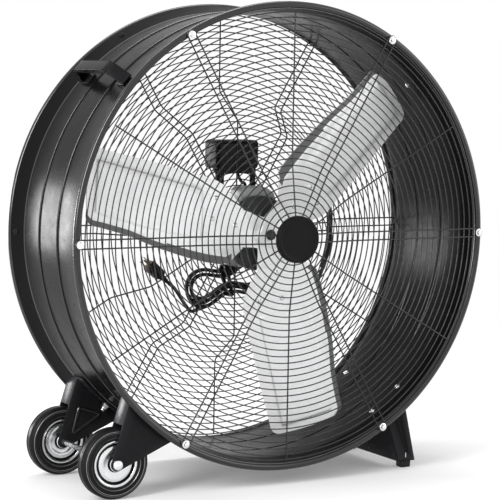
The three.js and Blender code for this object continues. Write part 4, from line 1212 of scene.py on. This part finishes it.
def thirds():
    """The turns about the axis that bring the first blade to each of the three."""
    return [about_axis(-120 * i) for i in range(3)]


class DRUMFAN_OT_rotor(bpy.types.Operator):
    """Stamp the three blades, their rivets, the hub's spider and its nut"""

    bl_idname = "drumfan.rotor"
    bl_label = "Rotor"

    def execute(self, context):
        nodes = [(f"blade_{i + 1}",) for i in range(3)]
        # The blades' second finish is the front flange's painted shade.
        shared("fan_blade", self.blade(), thirds(), "blade_aluminium", nodes, ROTOR, "mill_edge")
        self.rivets()
        self.spider()
        return {"FINISHED"}

    def blade(self):
        """One sheet: a raised panel, a turned front edge and round corners at the tip."""
        thick = sizes().blade_sheet / MM
        skin = Skin()
        top, under = [], []
        rows = blade_rows()
        for u in rows:
            front, columns = blade_columns(u)
            mid, half = (columns[0] + front) / 2, (front - columns[0]) / 2
            for s in columns:
                out = u + BLADE_END["bulge"] * smooth((u - 410) / 30) * (1 - ((s - mid) / half) ** 2)
                lift = blade_lift(u, s, front)
                top.append(blade_point(out, s, lift - thick / 2))
                under.append(blade_point(out, s, lift + thick / 2))
        wide = len(columns)
        _, made = skin.sheet(top, under, wide)
        # Faces along the front edge take the flange's painted shade.
        for n, face in enumerate(made[: 2 * (len(rows) - 1) * (wide - 1)]):
            i, j = divmod(n // 2, wide - 1)
            dull = SHADED_COLUMNS["near" if rows[i] < SHADED_COLUMNS["until"] else "far"]
            face.material_index = int(i > 1 and j >= wide - dull)
        return skin.mesh("fan_blade", 25)

    def rivets(self):
        """Domed rivets through each blade and its arm."""
        thick = sizes().blade_sheet / MM
        dome = [(5.6, 0.4), (5.6, -0.1), (5.0, -1.2), (3.6, -2.2), (1.8, -2.7), (0.001, -2.8)]
        skin = Skin()
        for u, s in RIVETS:
            made = skin.turned(dome, 28)
            seat = Vector(blade_point(u, s, -thick / 2))
            ahead = Vector(blade_point(u, s, 1)) - Vector(blade_point(u, s, 0))
            turn = Vector((0, 1, 0)).rotation_difference(ahead).to_matrix().to_4x4()
            skin.moved(made, Matrix.Translation(seat) @ turn)
        shared("blade_rivets", skin.mesh("blade_rivets"), thirds(), "zinc_plate", [(), (), ()], ROTOR)

    def spider(self):
        """A boss on the shaft, a flat hub plate and a rounded arm behind each blade."""
        thick = 2.4
        lift = sizes().blade_sheet / MM / 2 + 0.3 + thick / 2
        skin = Skin()
        boss = [(0.001, -94), (25.5, -94), (27, -92.5), (27, -71), (26, -70), (8, -70), (8, -52), (0.001, -52)]
        skin.turned(boss, 64)
        y = ROTOR_Y
        plate = [(0.001, y + 2), (38, y + 2), (40, y + 2.6), (40, y + 4), (38, y + 4.4), (0.001, y + 4.4)]
        skin.turned(plate, 64)
        for i in range(3):
            middle = []
            for u in (16 + 149 * k / 12 for k in range(13)):
                front, back = along(u, ARM_FRONT), along(u, ARM_BACK)
                middle += [self.arm_point(u, back + (front - back) * j / 6, lift) for j in range(7)]
            near, far = ([p + Vector((0, d, 0)) for p in middle] for d in (-thick / 2, thick / 2))
            skin.moved(skin.sheet(near, far, 7), rotation("Y", 120 * i))
        mesh = skin.mesh("hub_plate", 30)
        piece("hub_plate", mesh, "blade_aluminium", body=ROTOR, stands_for=("hub_spider",))
        skin = Skin()
        y = -94.3
        skin.turned([(0.001, y), (11.4, y), (11.5, y - 1.2), (11, y - 1.5), (10.6, y - 1.5)], 40)
        nut = [(10.4, y - 1.2), (10.4, y - 6.6), (9.4, y - 7.6), (6, y - 7.8), (6, y - 9), (0.001, y - 9)]
        skin.turned(nut, 6)
        mesh = skin.mesh("shaft_nut_hex", 30)
        piece("shaft_nut_hex", mesh, "cast_motor", body=ROTOR, stands_for=("shaft_nut",))

    def arm_point(self, u, s, lift):
        """A point of an arm, which turns from the flat hub plate into the blade's pitch."""
        x, y, z = blade_point(u, s, lift)
        flat = 1 - smooth((u - 22) / 44)
        return Vector((x, y + (ROTOR_Y + 3.2 - y) * flat, z))


# ---- handles ---------------------------------------------------------------------------------------------

HANDLE = {"angle": 137, "radius": 526, "width": 27, "seat": 480.5, "thick": 4.0, "lip": 7.5}


def inside_bolt(degrees, y):
    """A domed bolt head on a washer inside the drum."""
    skin = Skin()
    head = [(0.001, 0), (2.6, 0.3), (4.4, 1.3), (5.4, 2.7), (5.6, 3.4), (6.2, 3.5), (6.4, 4.3), (0.001, 4.3)]
    inner = (sizes().drum_radius - sizes().sheet) / MM
    turn = rotation("Y", -degrees) @ Matrix.Translation((inner - 4.4, y, 0))
    skin.moved(skin.turned(head, 36), turn @ rotation("Z", -90))
    return skin.mesh("inside_bolt", 30)


class DRUMFAN_OT_handles(bpy.types.Operator):
    """Bend the two bar handles over the drum and bolt them through it"""

    bl_idname = "drumfan.handles"
    bl_label = "Handles"

    def execute(self, context):
        for i, (side, degrees) in enumerate((("left", HANDLE["angle"]), ("right", 180 - HANDLE["angle"]))):
            piece(f"handle_bar_{side}", self.bar(degrees), "black_paint", stands_for=(f"handle_{side}",))
            for k, y in ((1, -87), (2, 87)):
                n = 2 * i + k
                piece(f"handle_screw_{n}", inside_bolt(degrees, y), "chrome", stands_for=(f"handle_bolt_{n}",))
        return {"FINISHED"}

    def bar(self, degrees):
        """A strip of steel: feet turned in, sides leaning in, a straight grip, all its edges rounded."""
        r, seat, t = HANDLE["radius"], HANDLE["seat"], HANDLE["thick"]
        corners = [(70, seat + t / 2, 0), (108, seat + t / 2, 9), (75, r - t / 2, 12)]
        half = self.rounded_corners(corners)
        line = [*half, *[(-y, z) for y, z in reversed(half)]]
        left, right = [], []
        for k, (y, z) in enumerate(line):
            a, b = line[max(0, k - 1)], line[min(len(line) - 1, k + 1)]
            ahead = Vector((b[0] - a[0], b[1] - a[1])).normalized()
            out = Vector((-ahead.y, ahead.x)) * t / 2
            left.append((y + out.x, z + out.y))
            right.append((y - out.x, z - out.y))
        skin = Skin()
        wide = HANDLE["width"] / 2
        skin.prism([*left, *reversed(right)], -wide, wide, 0.9, 3)
        lips = [(y, z) for y, z in right if z > seat + 9]
        lip = [*lips, *[(y * 0.91, min(z, r - t) - HANDLE["lip"]) for y, z in reversed(lips)]]
        for a, b in ((-wide + 0.2, -wide + 2.6), (wide - 2.6, wide - 0.2)):
            skin.prism(lip, a, b, 0.5, 2)
        skin.all_moved(rotation("Y", 90 - degrees))
        return skin.mesh("handle_bar", 30)

    def rounded_corners(self, corners):
        """The strip's middle line from the end of a foot to the middle of the grip, with arcs at its bends."""
        points = [corners[0][:2]]
        spots = [*corners, (0, corners[-1][1], 0)]
        for before, corner, after in zip(spots, spots[1:], spots[2:]):
            points += [tuple(q) for q in bend(before[:2], corner[:2], after[:2], corner[2], 8)]
        return points


# ---- wheels ----------------------------------------------------------------------------------------------

WHEEL = {"x": -390, "z": -458.5, "radius": 74.5, "y": 135, "width": 38, "disc": 48.7, "axle": 6}
FORK = {"left": -138.5, "right": -121, "inner": 112, "outer": 158, "sheet": 2.5, "web_z": -378, "toe": 14}
STRAP = {"r0": 480.7, "r1": 483.4, "depth": 32}
EMBOSS = [(-356, -384), (-304, -403), (-371, -442)]
# Radii of the tyre's rings whose tops carry a painted highlight.
HIGHLIGHT_RINGS = ((54.5, 55.6), (64.2, 65.2), (67.2, 68.4))
# Radii of the disc's groove and hub step, painted black as shade.
SHADED_GROOVES = ((39.4, 43.2), (14.4, 17.2))


def spun(half, y, centre, steps, bands):
    """A wheel's half profile, mirrored and turned, in its second finish where the radius is within a band."""
    profile = [*half, *[(a, -b) for a, b in reversed(half[:-1])]]
    skin = Skin()
    _, faces = skin.turned([(a, b + y) for a, b in [*profile, profile[0]]], steps, centre)
    for face in faces:
        middle = face.calc_center_median()
        r = math.hypot(middle.x - centre[0], middle.z - centre[1])
        face.material_index = int(any(low < r < high for low, high in bands))
    return skin


class DRUMFAN_OT_wheels(bpy.types.Operator):
    """Fit the two rubber-tyred wheels, their axle, caps and brackets"""

    bl_idname = "drumfan.wheels"
    bl_label = "Wheels and brackets"

    def execute(self, context):
        centre = (WHEEL["x"], WHEEL["z"])
        for end, side in ENDS:
            body = f"wheel_{end}"
            y = side * WHEEL["y"]
            # The tops of the tyre's rings carry a painted highlight.
            piece(f"tyre_ring_{end}", self.tyre(y, centre), "tyre_rubber", body=body,
                  stands_for=(f"tyre_{end}",), second="rubbed_rubber")
            # The disc's groove and hub step are painted black as shade.
            piece(f"wheel_plate_{end}", self.disc(y, centre), "zinc_plate", body=body,
                  stands_for=(f"wheel_disc_{end}",), second="black_paint")
            piece(f"wheel_cap_{end}", self.cap(side, centre), "chrome", stands_for=(f"axle_cap_{end}",))
            piece(f"wheel_bracket_{end}", self.bracket(side), "black_paint",
                  stands_for=(f"wheel_fork_{end}",), second="rim_paint")
            piece(f"bracket_bolt_{end}", self.bolt(side), "zinc_plate", stands_for=(f"fork_bolt_{end}",))
        skin = Skin()
        reach, r = WHEEL["y"] + 28, WHEEL["axle"]
        skin.turned([(0.001, -reach), (r - 0.8, -reach), (r, -reach + 0.8), (r, reach - 0.8), (r - 0.8, reach),
                     (0.001, reach)], 48, centre)
        piece("axle_rod", skin.mesh("axle_rod", 30), "zinc_plate", stands_for=("axle",))
        return {"FINISHED"}

    def tyre(self, y, centre):
        """A solid tyre with two raised rings on each sidewall and a crowned tread with two grooves."""
        w, r = WHEEL["width"] / 2, WHEEL["radius"]
        wall = [(49, w - 3), (51, w - 1.6), (54.5, w - 1.4), (55.4, w - 0.4), (57.6, w - 0.3), (58.6, w - 0.9),
                (64, w - 1.0), (65, w - 0.3), (67.2, w - 0.5), (68.2, w - 1.5), (71.5, w - 3.2), (73.4, w - 6.0),
                (r - 0.2, w - 9)]
        tread = [(r, 9), (r - 1.8, 8.4), (r - 1.8, 6.6), (r, 6), (r, 0)]
        return spun(wall + tread, y, centre, 128, HIGHLIGHT_RINGS).mesh("tyre_ring", 32)

    def disc(self, y, centre):
        """A pressed disc: a rolled rim, a groove, a dished face with a hub on the axle. The groove and the step
        round the hub are painted black as shade.
        """
        w, rim = WHEEL["width"] / 2, WHEEL["disc"]
        bore = WHEEL["axle"] + 0.25
        half = [(bore, w + 0.5), (13.8, w + 0.5), (15, w - 0.4), (16.2, w - 5.4), (17.6, w - 7), (24, w - 7.4),
                (27, w - 6.2), (34, w - 5.6), (37.4, w - 6.4), (39.4, w - 8.8), (42.0, w - 8.8), (43.4, w - 5),
                (45, w - 3.6), (46.6, w - 3.2), (rim - 0.3, w - 3.6), (rim, w - 5), (rim, 0)]
        return spun(half, y, centre, 96, SHADED_GROOVES).mesh("wheel_plate", 32)

    def cap(self, side, centre):
        """A push-on cap over the axle's end, outside the bracket."""
        y, end = 158.8, 163.3
        skin = Skin()
        profile = [(6.3, y), (10.6, y), (11, y + 0.5), (11, y + 3.4), (10.4, y + 4.6), (8.4, end + 2.6),
                   (6, end + 3.6), (0.001, end + 4), (0.001, end), (6.3, end), (6.3, y)]
        skin.turned([(r, side * at) for r, at in profile], 48, centre)
        return skin.mesh("wheel_cap", 30)

    def bracket(self, side):
        """Two rounded plates, a web over the tyre and a strap bent to the drum."""
        near, far, t = FORK["inner"], FORK["outer"], FORK["sheet"]
        x0, z0 = WHEEL["x"], WHEEL["z"]
        foot = [(x0 + dx, z0 + dz) for dx, dz in arc(FORK["toe"], 160, 300, 14)]
        top = arc(STRAP["r0"], FORK["right"], FORK["left"], 10)
        outline = [*foot, *top]
        skin = Skin()
        for a, b in ((near, near + t), (far - t, far)):
            skin.slab(outline, side * a, side * b, 0.7, 2)
        _, faces = skin.tube(self.ridge(side * (near - 0.6)), 6.6, sides=12, closed=True)
        for face in faces:
            face.material_index = 1
        start, toe = top[-1], foot[0]
        share = (FORK["web_z"] - start[1]) / (toe[1] - start[1])
        end = (start[0] + (toe[0] - start[0]) * share, FORK["web_z"])
        web = [start, end, (end[0] + 2.7, end[1]), (start[0] + 2.7, start[1])]
        skin.slab(web, side * (near + 0.2), side * (far - 0.2), 0.5, 2)
        strap = curved_band(STRAP["r1"], STRAP["r0"], FORK["left"] - 0.4, FORK["right"] + 0.5, 12)
        skin.slab(strap, side * (near - STRAP["depth"]), side * (near + t), 0.6, 2)
        return skin.mesh("wheel_bracket", 28)

    def ridge(self, y):
        """The stiffening ridge pressed into a plate: a triangle with rounded corners."""
        points = []
        for k, corner in enumerate(EMBOSS):
            points += [(x, y, z) for x, z in bend(EMBOSS[k - 1], corner, EMBOSS[(k + 1) % 3], 8, 6)]
        return points

    def bolt(self, side):
        """A flanged hexagon bolt that stands out of the strap."""
        skin = Skin()
        washer = [(0.001, 0), (8.6, 0), (9, 0.4), (9, 1.2), (8.4, 1.7), (4, 1.7)]
        nut = [(6.5, 1.5), (7, 2.2), (7, 7.2), (6.3, 8), (3.9, 8)]
        shank = [(4, 7.5), (4, 14), (3.4, 14.8), (0.001, 15)]
        seat = Matrix.Translation((STRAP["r1"] + 0.6, side * 98, 0))
        turn = rotation("Y", 128) @ seat @ rotation("Z", -90)
        for profile, steps in ((washer, 40), (nut, 6), (shank, 24)):
            skin.moved(skin.turned(profile, steps), turn)
        return skin.mesh("bracket_bolt", 30)


# ---- leg -------------------------------------------------------------------------------------------------

LEG = {
    "y": 126, "foot_z": -518.2, "top_z": -330, "top_in": 262, "foot_in": 324, "top_out": 325, "foot_out": 369,
    "sheet": 2.5,
}
LEG_STRAP = {"first": -60.5, "last": -43.5}


class DRUMFAN_OT_leg(bpy.types.Operator):
    """Fold the right-hand leg, with its straps, slots and rubber feet, and bolt it through the drum"""

    bl_idname = "drumfan.leg"
    bl_label = "Leg"

    def execute(self, context):
        y, t, z0 = LEG["y"], LEG["sheet"], LEG["foot_z"]
        skin = Skin()
        flange = self.flange()
        strap = curved_band(STRAP["r1"], STRAP["r0"], LEG_STRAP["first"], LEG_STRAP["last"], 10)
        sole = rectangle(LEG["foot_in"], z0, LEG["foot_out"] - 2, z0 + t)
        for side in (-1, 1):
            skin.slab(flange, side * y, side * (y - t), 0.7, 2)
            skin.slab(strap, side * y, side * (y - STRAP["depth"]), 0.6, 2)
            skin.slab(sole, side * y, side * (y - 26), 0.6, 2)
        inside = self.meets_drum(LEG["top_in"], LEG["foot_in"])
        web = [inside, (LEG["foot_in"], z0), (LEG["foot_in"] + 2.7, z0), (inside[0] + 2.7, inside[1] + 1)]
        skin.slab(web, -y, y, 0.7, 2)
        leg = piece("folded_leg", skin.mesh("folded_leg", 28), "black_paint", stands_for=("leg_right",))
        slot = Skin()
        slot.slab(rectangle(343, z0 + 7, 347, z0 + 19), -y - 5, y + 5, 1.2, 2)
        carved(leg, slot)
        for end, side in ENDS:
            piece(f"foot_pad_{end}", self.foot(side), "rubber", stands_for=(f"foot_{end}",))
        for n, (degrees, at) in enumerate(((-47, -111), (-57, -111), (-47, 105), (-57, 105)), 1):
            piece(f"leg_screw_{n}", inside_bolt(degrees, at), "chrome", stands_for=(f"leg_bolt_{n}",))
        return {"FINISHED"}

    def meets_drum(self, top_x, foot_x):
        """Where a fold of the leg runs up to the drum."""
        lean = (foot_x - top_x) / (LEG["foot_z"] - LEG["top_z"])
        z = LEG["top_z"] - 80
        for _ in range(40):
            x = top_x + (z - LEG["top_z"]) * lean
            z = -math.sqrt(max(0.0, STRAP["r0"] ** 2 - x * x)) if abs(x) < STRAP["r0"] else z
        return top_x + (z - LEG["top_z"]) * lean, z

    def flange(self):
        """The outline of a side of the leg, from the drum down to the foot."""
        inside = self.meets_drum(LEG["top_in"], LEG["foot_in"])
        outside = self.meets_drum(LEG["top_out"], LEG["foot_out"])
        first = math.degrees(math.atan2(inside[1], inside[0]))
        last = math.degrees(math.atan2(outside[1], outside[0]))
        foot = [(LEG[name], LEG["foot_z"]) for name in ("foot_out", "foot_in")]
        return [*arc(STRAP["r0"], first, last, 8), *foot]

    def foot(self, side):
        """A rubber pad under the leg's toe."""
        y0, y1 = LEG["y"] - 23, LEG["y"] - 2
        z0, z1 = -AXIS.z / MM, LEG["foot_z"] - 0.3
        skin = Skin()
        outline = [(334, z0 + 1.5), (335, z0), (357, z0), (358, z0 + 1.5), (359, z1), (333, z1)]
        skin.slab(outline, side * y0, side * y1, 1.0, 3)
        return skin.mesh("foot_pad")


# ---- stage -----------------------------------------------------------------------------------------------

LAMPS = (
    ("key", (-3000, -1500, 1500), (0.8, 3.2), 100),
    ("fill", (3000, -2600, 1000), (2.6, 2.6), 26),
    ("top", (200, 600, 3400), (3.0, 0.8), 52),
    ("back", (-1700, 3200, 0), (1.0, 1.0), 40),
)
WORLD_LEVEL = 0.8


class DRUMFAN_OT_stage(bpy.types.Operator):
    """Lay the pale floor that fades into a white surround, and hang the soft lamps"""

    bl_idname = "drumfan.stage"
    bl_label = "Stage"

    def execute(self, context):
        context.scene.view_settings.view_transform = "Standard"
        self.floor()
        self.world(context)
        for name, (x, y, z), size, power in LAMPS:
            data = bpy.data.lights.new(f"lamp_{name}", "AREA")
            data.shape = "ELLIPSE"
            data.size, data.size_y = size
            data.energy = power
            lamp = bpy.data.objects.new(f"lamp_{name}", data)
            spot = place(x, y, z)
            aim = (AXIS - spot).to_track_quat("-Z", "Y").to_matrix().to_4x4()
            lamp.matrix_world = Matrix.Translation(spot) @ aim
            context.scene.collection.objects.link(lamp)
        return {"FINISHED"}

    def floor(self):
        skin = Skin()
        ground = -AXIS.z / MM
        made = skin.turned([(0.001, 0), (1500, 0), (3000, 0), (6000, 0)], 96)
        skin.moved(made, Matrix.Translation((0, 0, ground)) @ rotation("X", 90))
        floor = bpy.data.objects.new("floor", skin.mesh("floor"))
        bpy.context.scene.collection.objects.link(floor)
        floor.data.materials.append(self.floor_material())

    def floor_material(self):
        """Pale paint that glows a little to the camera and clears away from the middle."""
        nodes = Nodes("floor_pale")
        tree, links = nodes.tree, nodes.tree.links
        pale = colours().floor
        nodes.colour(nodes.noise(3, 2), pale, lighter(pale, 1.02))
        nodes.set(Roughness=0.9, Specular_IOR_Level=0.1)
        rays = tree.nodes.new("ShaderNodeLightPath")
        glow = tree.nodes.new("ShaderNodeEmission")
        lift = nodes.spread(rays.outputs["Is Camera Ray"], 0, 1, 0, 0.16)
        links.new(lift, glow.inputs["Strength"])
        add = tree.nodes.new("ShaderNodeAddShader")
        links.new(nodes.shader.outputs["BSDF"], add.inputs[0])
        links.new(glow.outputs["Emission"], add.inputs[1])
        clear = tree.nodes.new("ShaderNodeBsdfTransparent")
        distance = tree.nodes.new("ShaderNodeVectorMath")
        distance.operation = "LENGTH"
        links.new(nodes.place, distance.inputs[0])
        mix = tree.nodes.new("ShaderNodeMixShader")
        links.new(nodes.spread(distance.outputs["Value"], 1.4, 3.4, 0, 1), mix.inputs["Fac"])
        links.new(add.outputs["Shader"], mix.inputs[1])
        links.new(clear.outputs["BSDF"], mix.inputs[2])
        links.new(mix.outputs["Shader"], tree.nodes["Material Output"].inputs["Surface"])
        return nodes.material

    def world(self, context):
        """White where it is seen or mirrored, and a little dimmer as light."""
        world = bpy.data.worlds.new("soft_white")
        world.use_nodes = True
        tree = world.node_tree
        background = tree.nodes["Background"]
        background.inputs["Color"].default_value = (1, 1, 1, 1)
        rays = tree.nodes.new("ShaderNodeLightPath")
        seen = rays.outputs["Is Camera Ray"]
        for kind in ("Is Glossy Ray", "Is Transmission Ray"):
            either = tree.nodes.new("ShaderNodeMath")
            either.operation = "MAXIMUM"
            tree.links.new(seen, either.inputs[0])
            tree.links.new(rays.outputs[kind], either.inputs[1])
            seen = either.outputs["Value"]
        level = tree.nodes.new("ShaderNodeMapRange")
        level.inputs["To Min"].default_value = WORLD_LEVEL
        level.inputs["To Max"].default_value = 1.0
        tree.links.new(seen, level.inputs["Value"])
        tree.links.new(level.outputs["Result"], background.inputs["Strength"])
        context.scene.world = world


# ---- panel and running order -----------------------------------------------------------------------------

STEPS = (
    DRUMFAN_OT_camera,
    DRUMFAN_OT_cord,
    DRUMFAN_OT_drum,
    DRUMFAN_OT_guards,
    DRUMFAN_OT_screws,
    DRUMFAN_OT_hub_cap,
    DRUMFAN_OT_motor,
    DRUMFAN_OT_switch_box,
    DRUMFAN_OT_rotor,
    DRUMFAN_OT_handles,
    DRUMFAN_OT_wheels,
    DRUMFAN_OT_leg,
    DRUMFAN_OT_stage,
)


class DRUMFAN_PT_pieces(bpy.types.Panel):
    """Sizes, colours and building steps of the drum fan"""

    bl_idname = "DRUMFAN_PT_pieces"
    bl_label = "Drum Fan"
    bl_space_type = "VIEW_3D"
    bl_region_type = "UI"
    bl_category = "Drum Fan"

    def draw(self, context):
        for group in (context.scene.drum_fan_sizes, context.scene.drum_fan_colours):
            column = self.layout.column(align=True)
            for name in group.__annotations__:
                column.prop(group, name)
        column = self.layout.column(align=True)
        for step in STEPS:
            column.operator(step.bl_idname)


CLASSES = (DrumFanSizes, DrumFanColours, *STEPS, DRUMFAN_PT_pieces)


def register():
    for cls in CLASSES:
        bpy.utils.register_class(cls)
    bpy.types.Scene.drum_fan_sizes = bpy.props.PointerProperty(type=DrumFanSizes)
    bpy.types.Scene.drum_fan_colours = bpy.props.PointerProperty(type=DrumFanColours)


def unregister():
    del bpy.types.Scene.drum_fan_colours
    del bpy.types.Scene.drum_fan_sizes
    for cls in reversed(CLASSES):
        bpy.utils.unregister_class(cls)


def main():
    register()
    for step in STEPS:
        group, name = step.bl_idname.split(".")
        getattr(getattr(bpy.ops, group), name)()


if __name__ == "__main__":
    main()
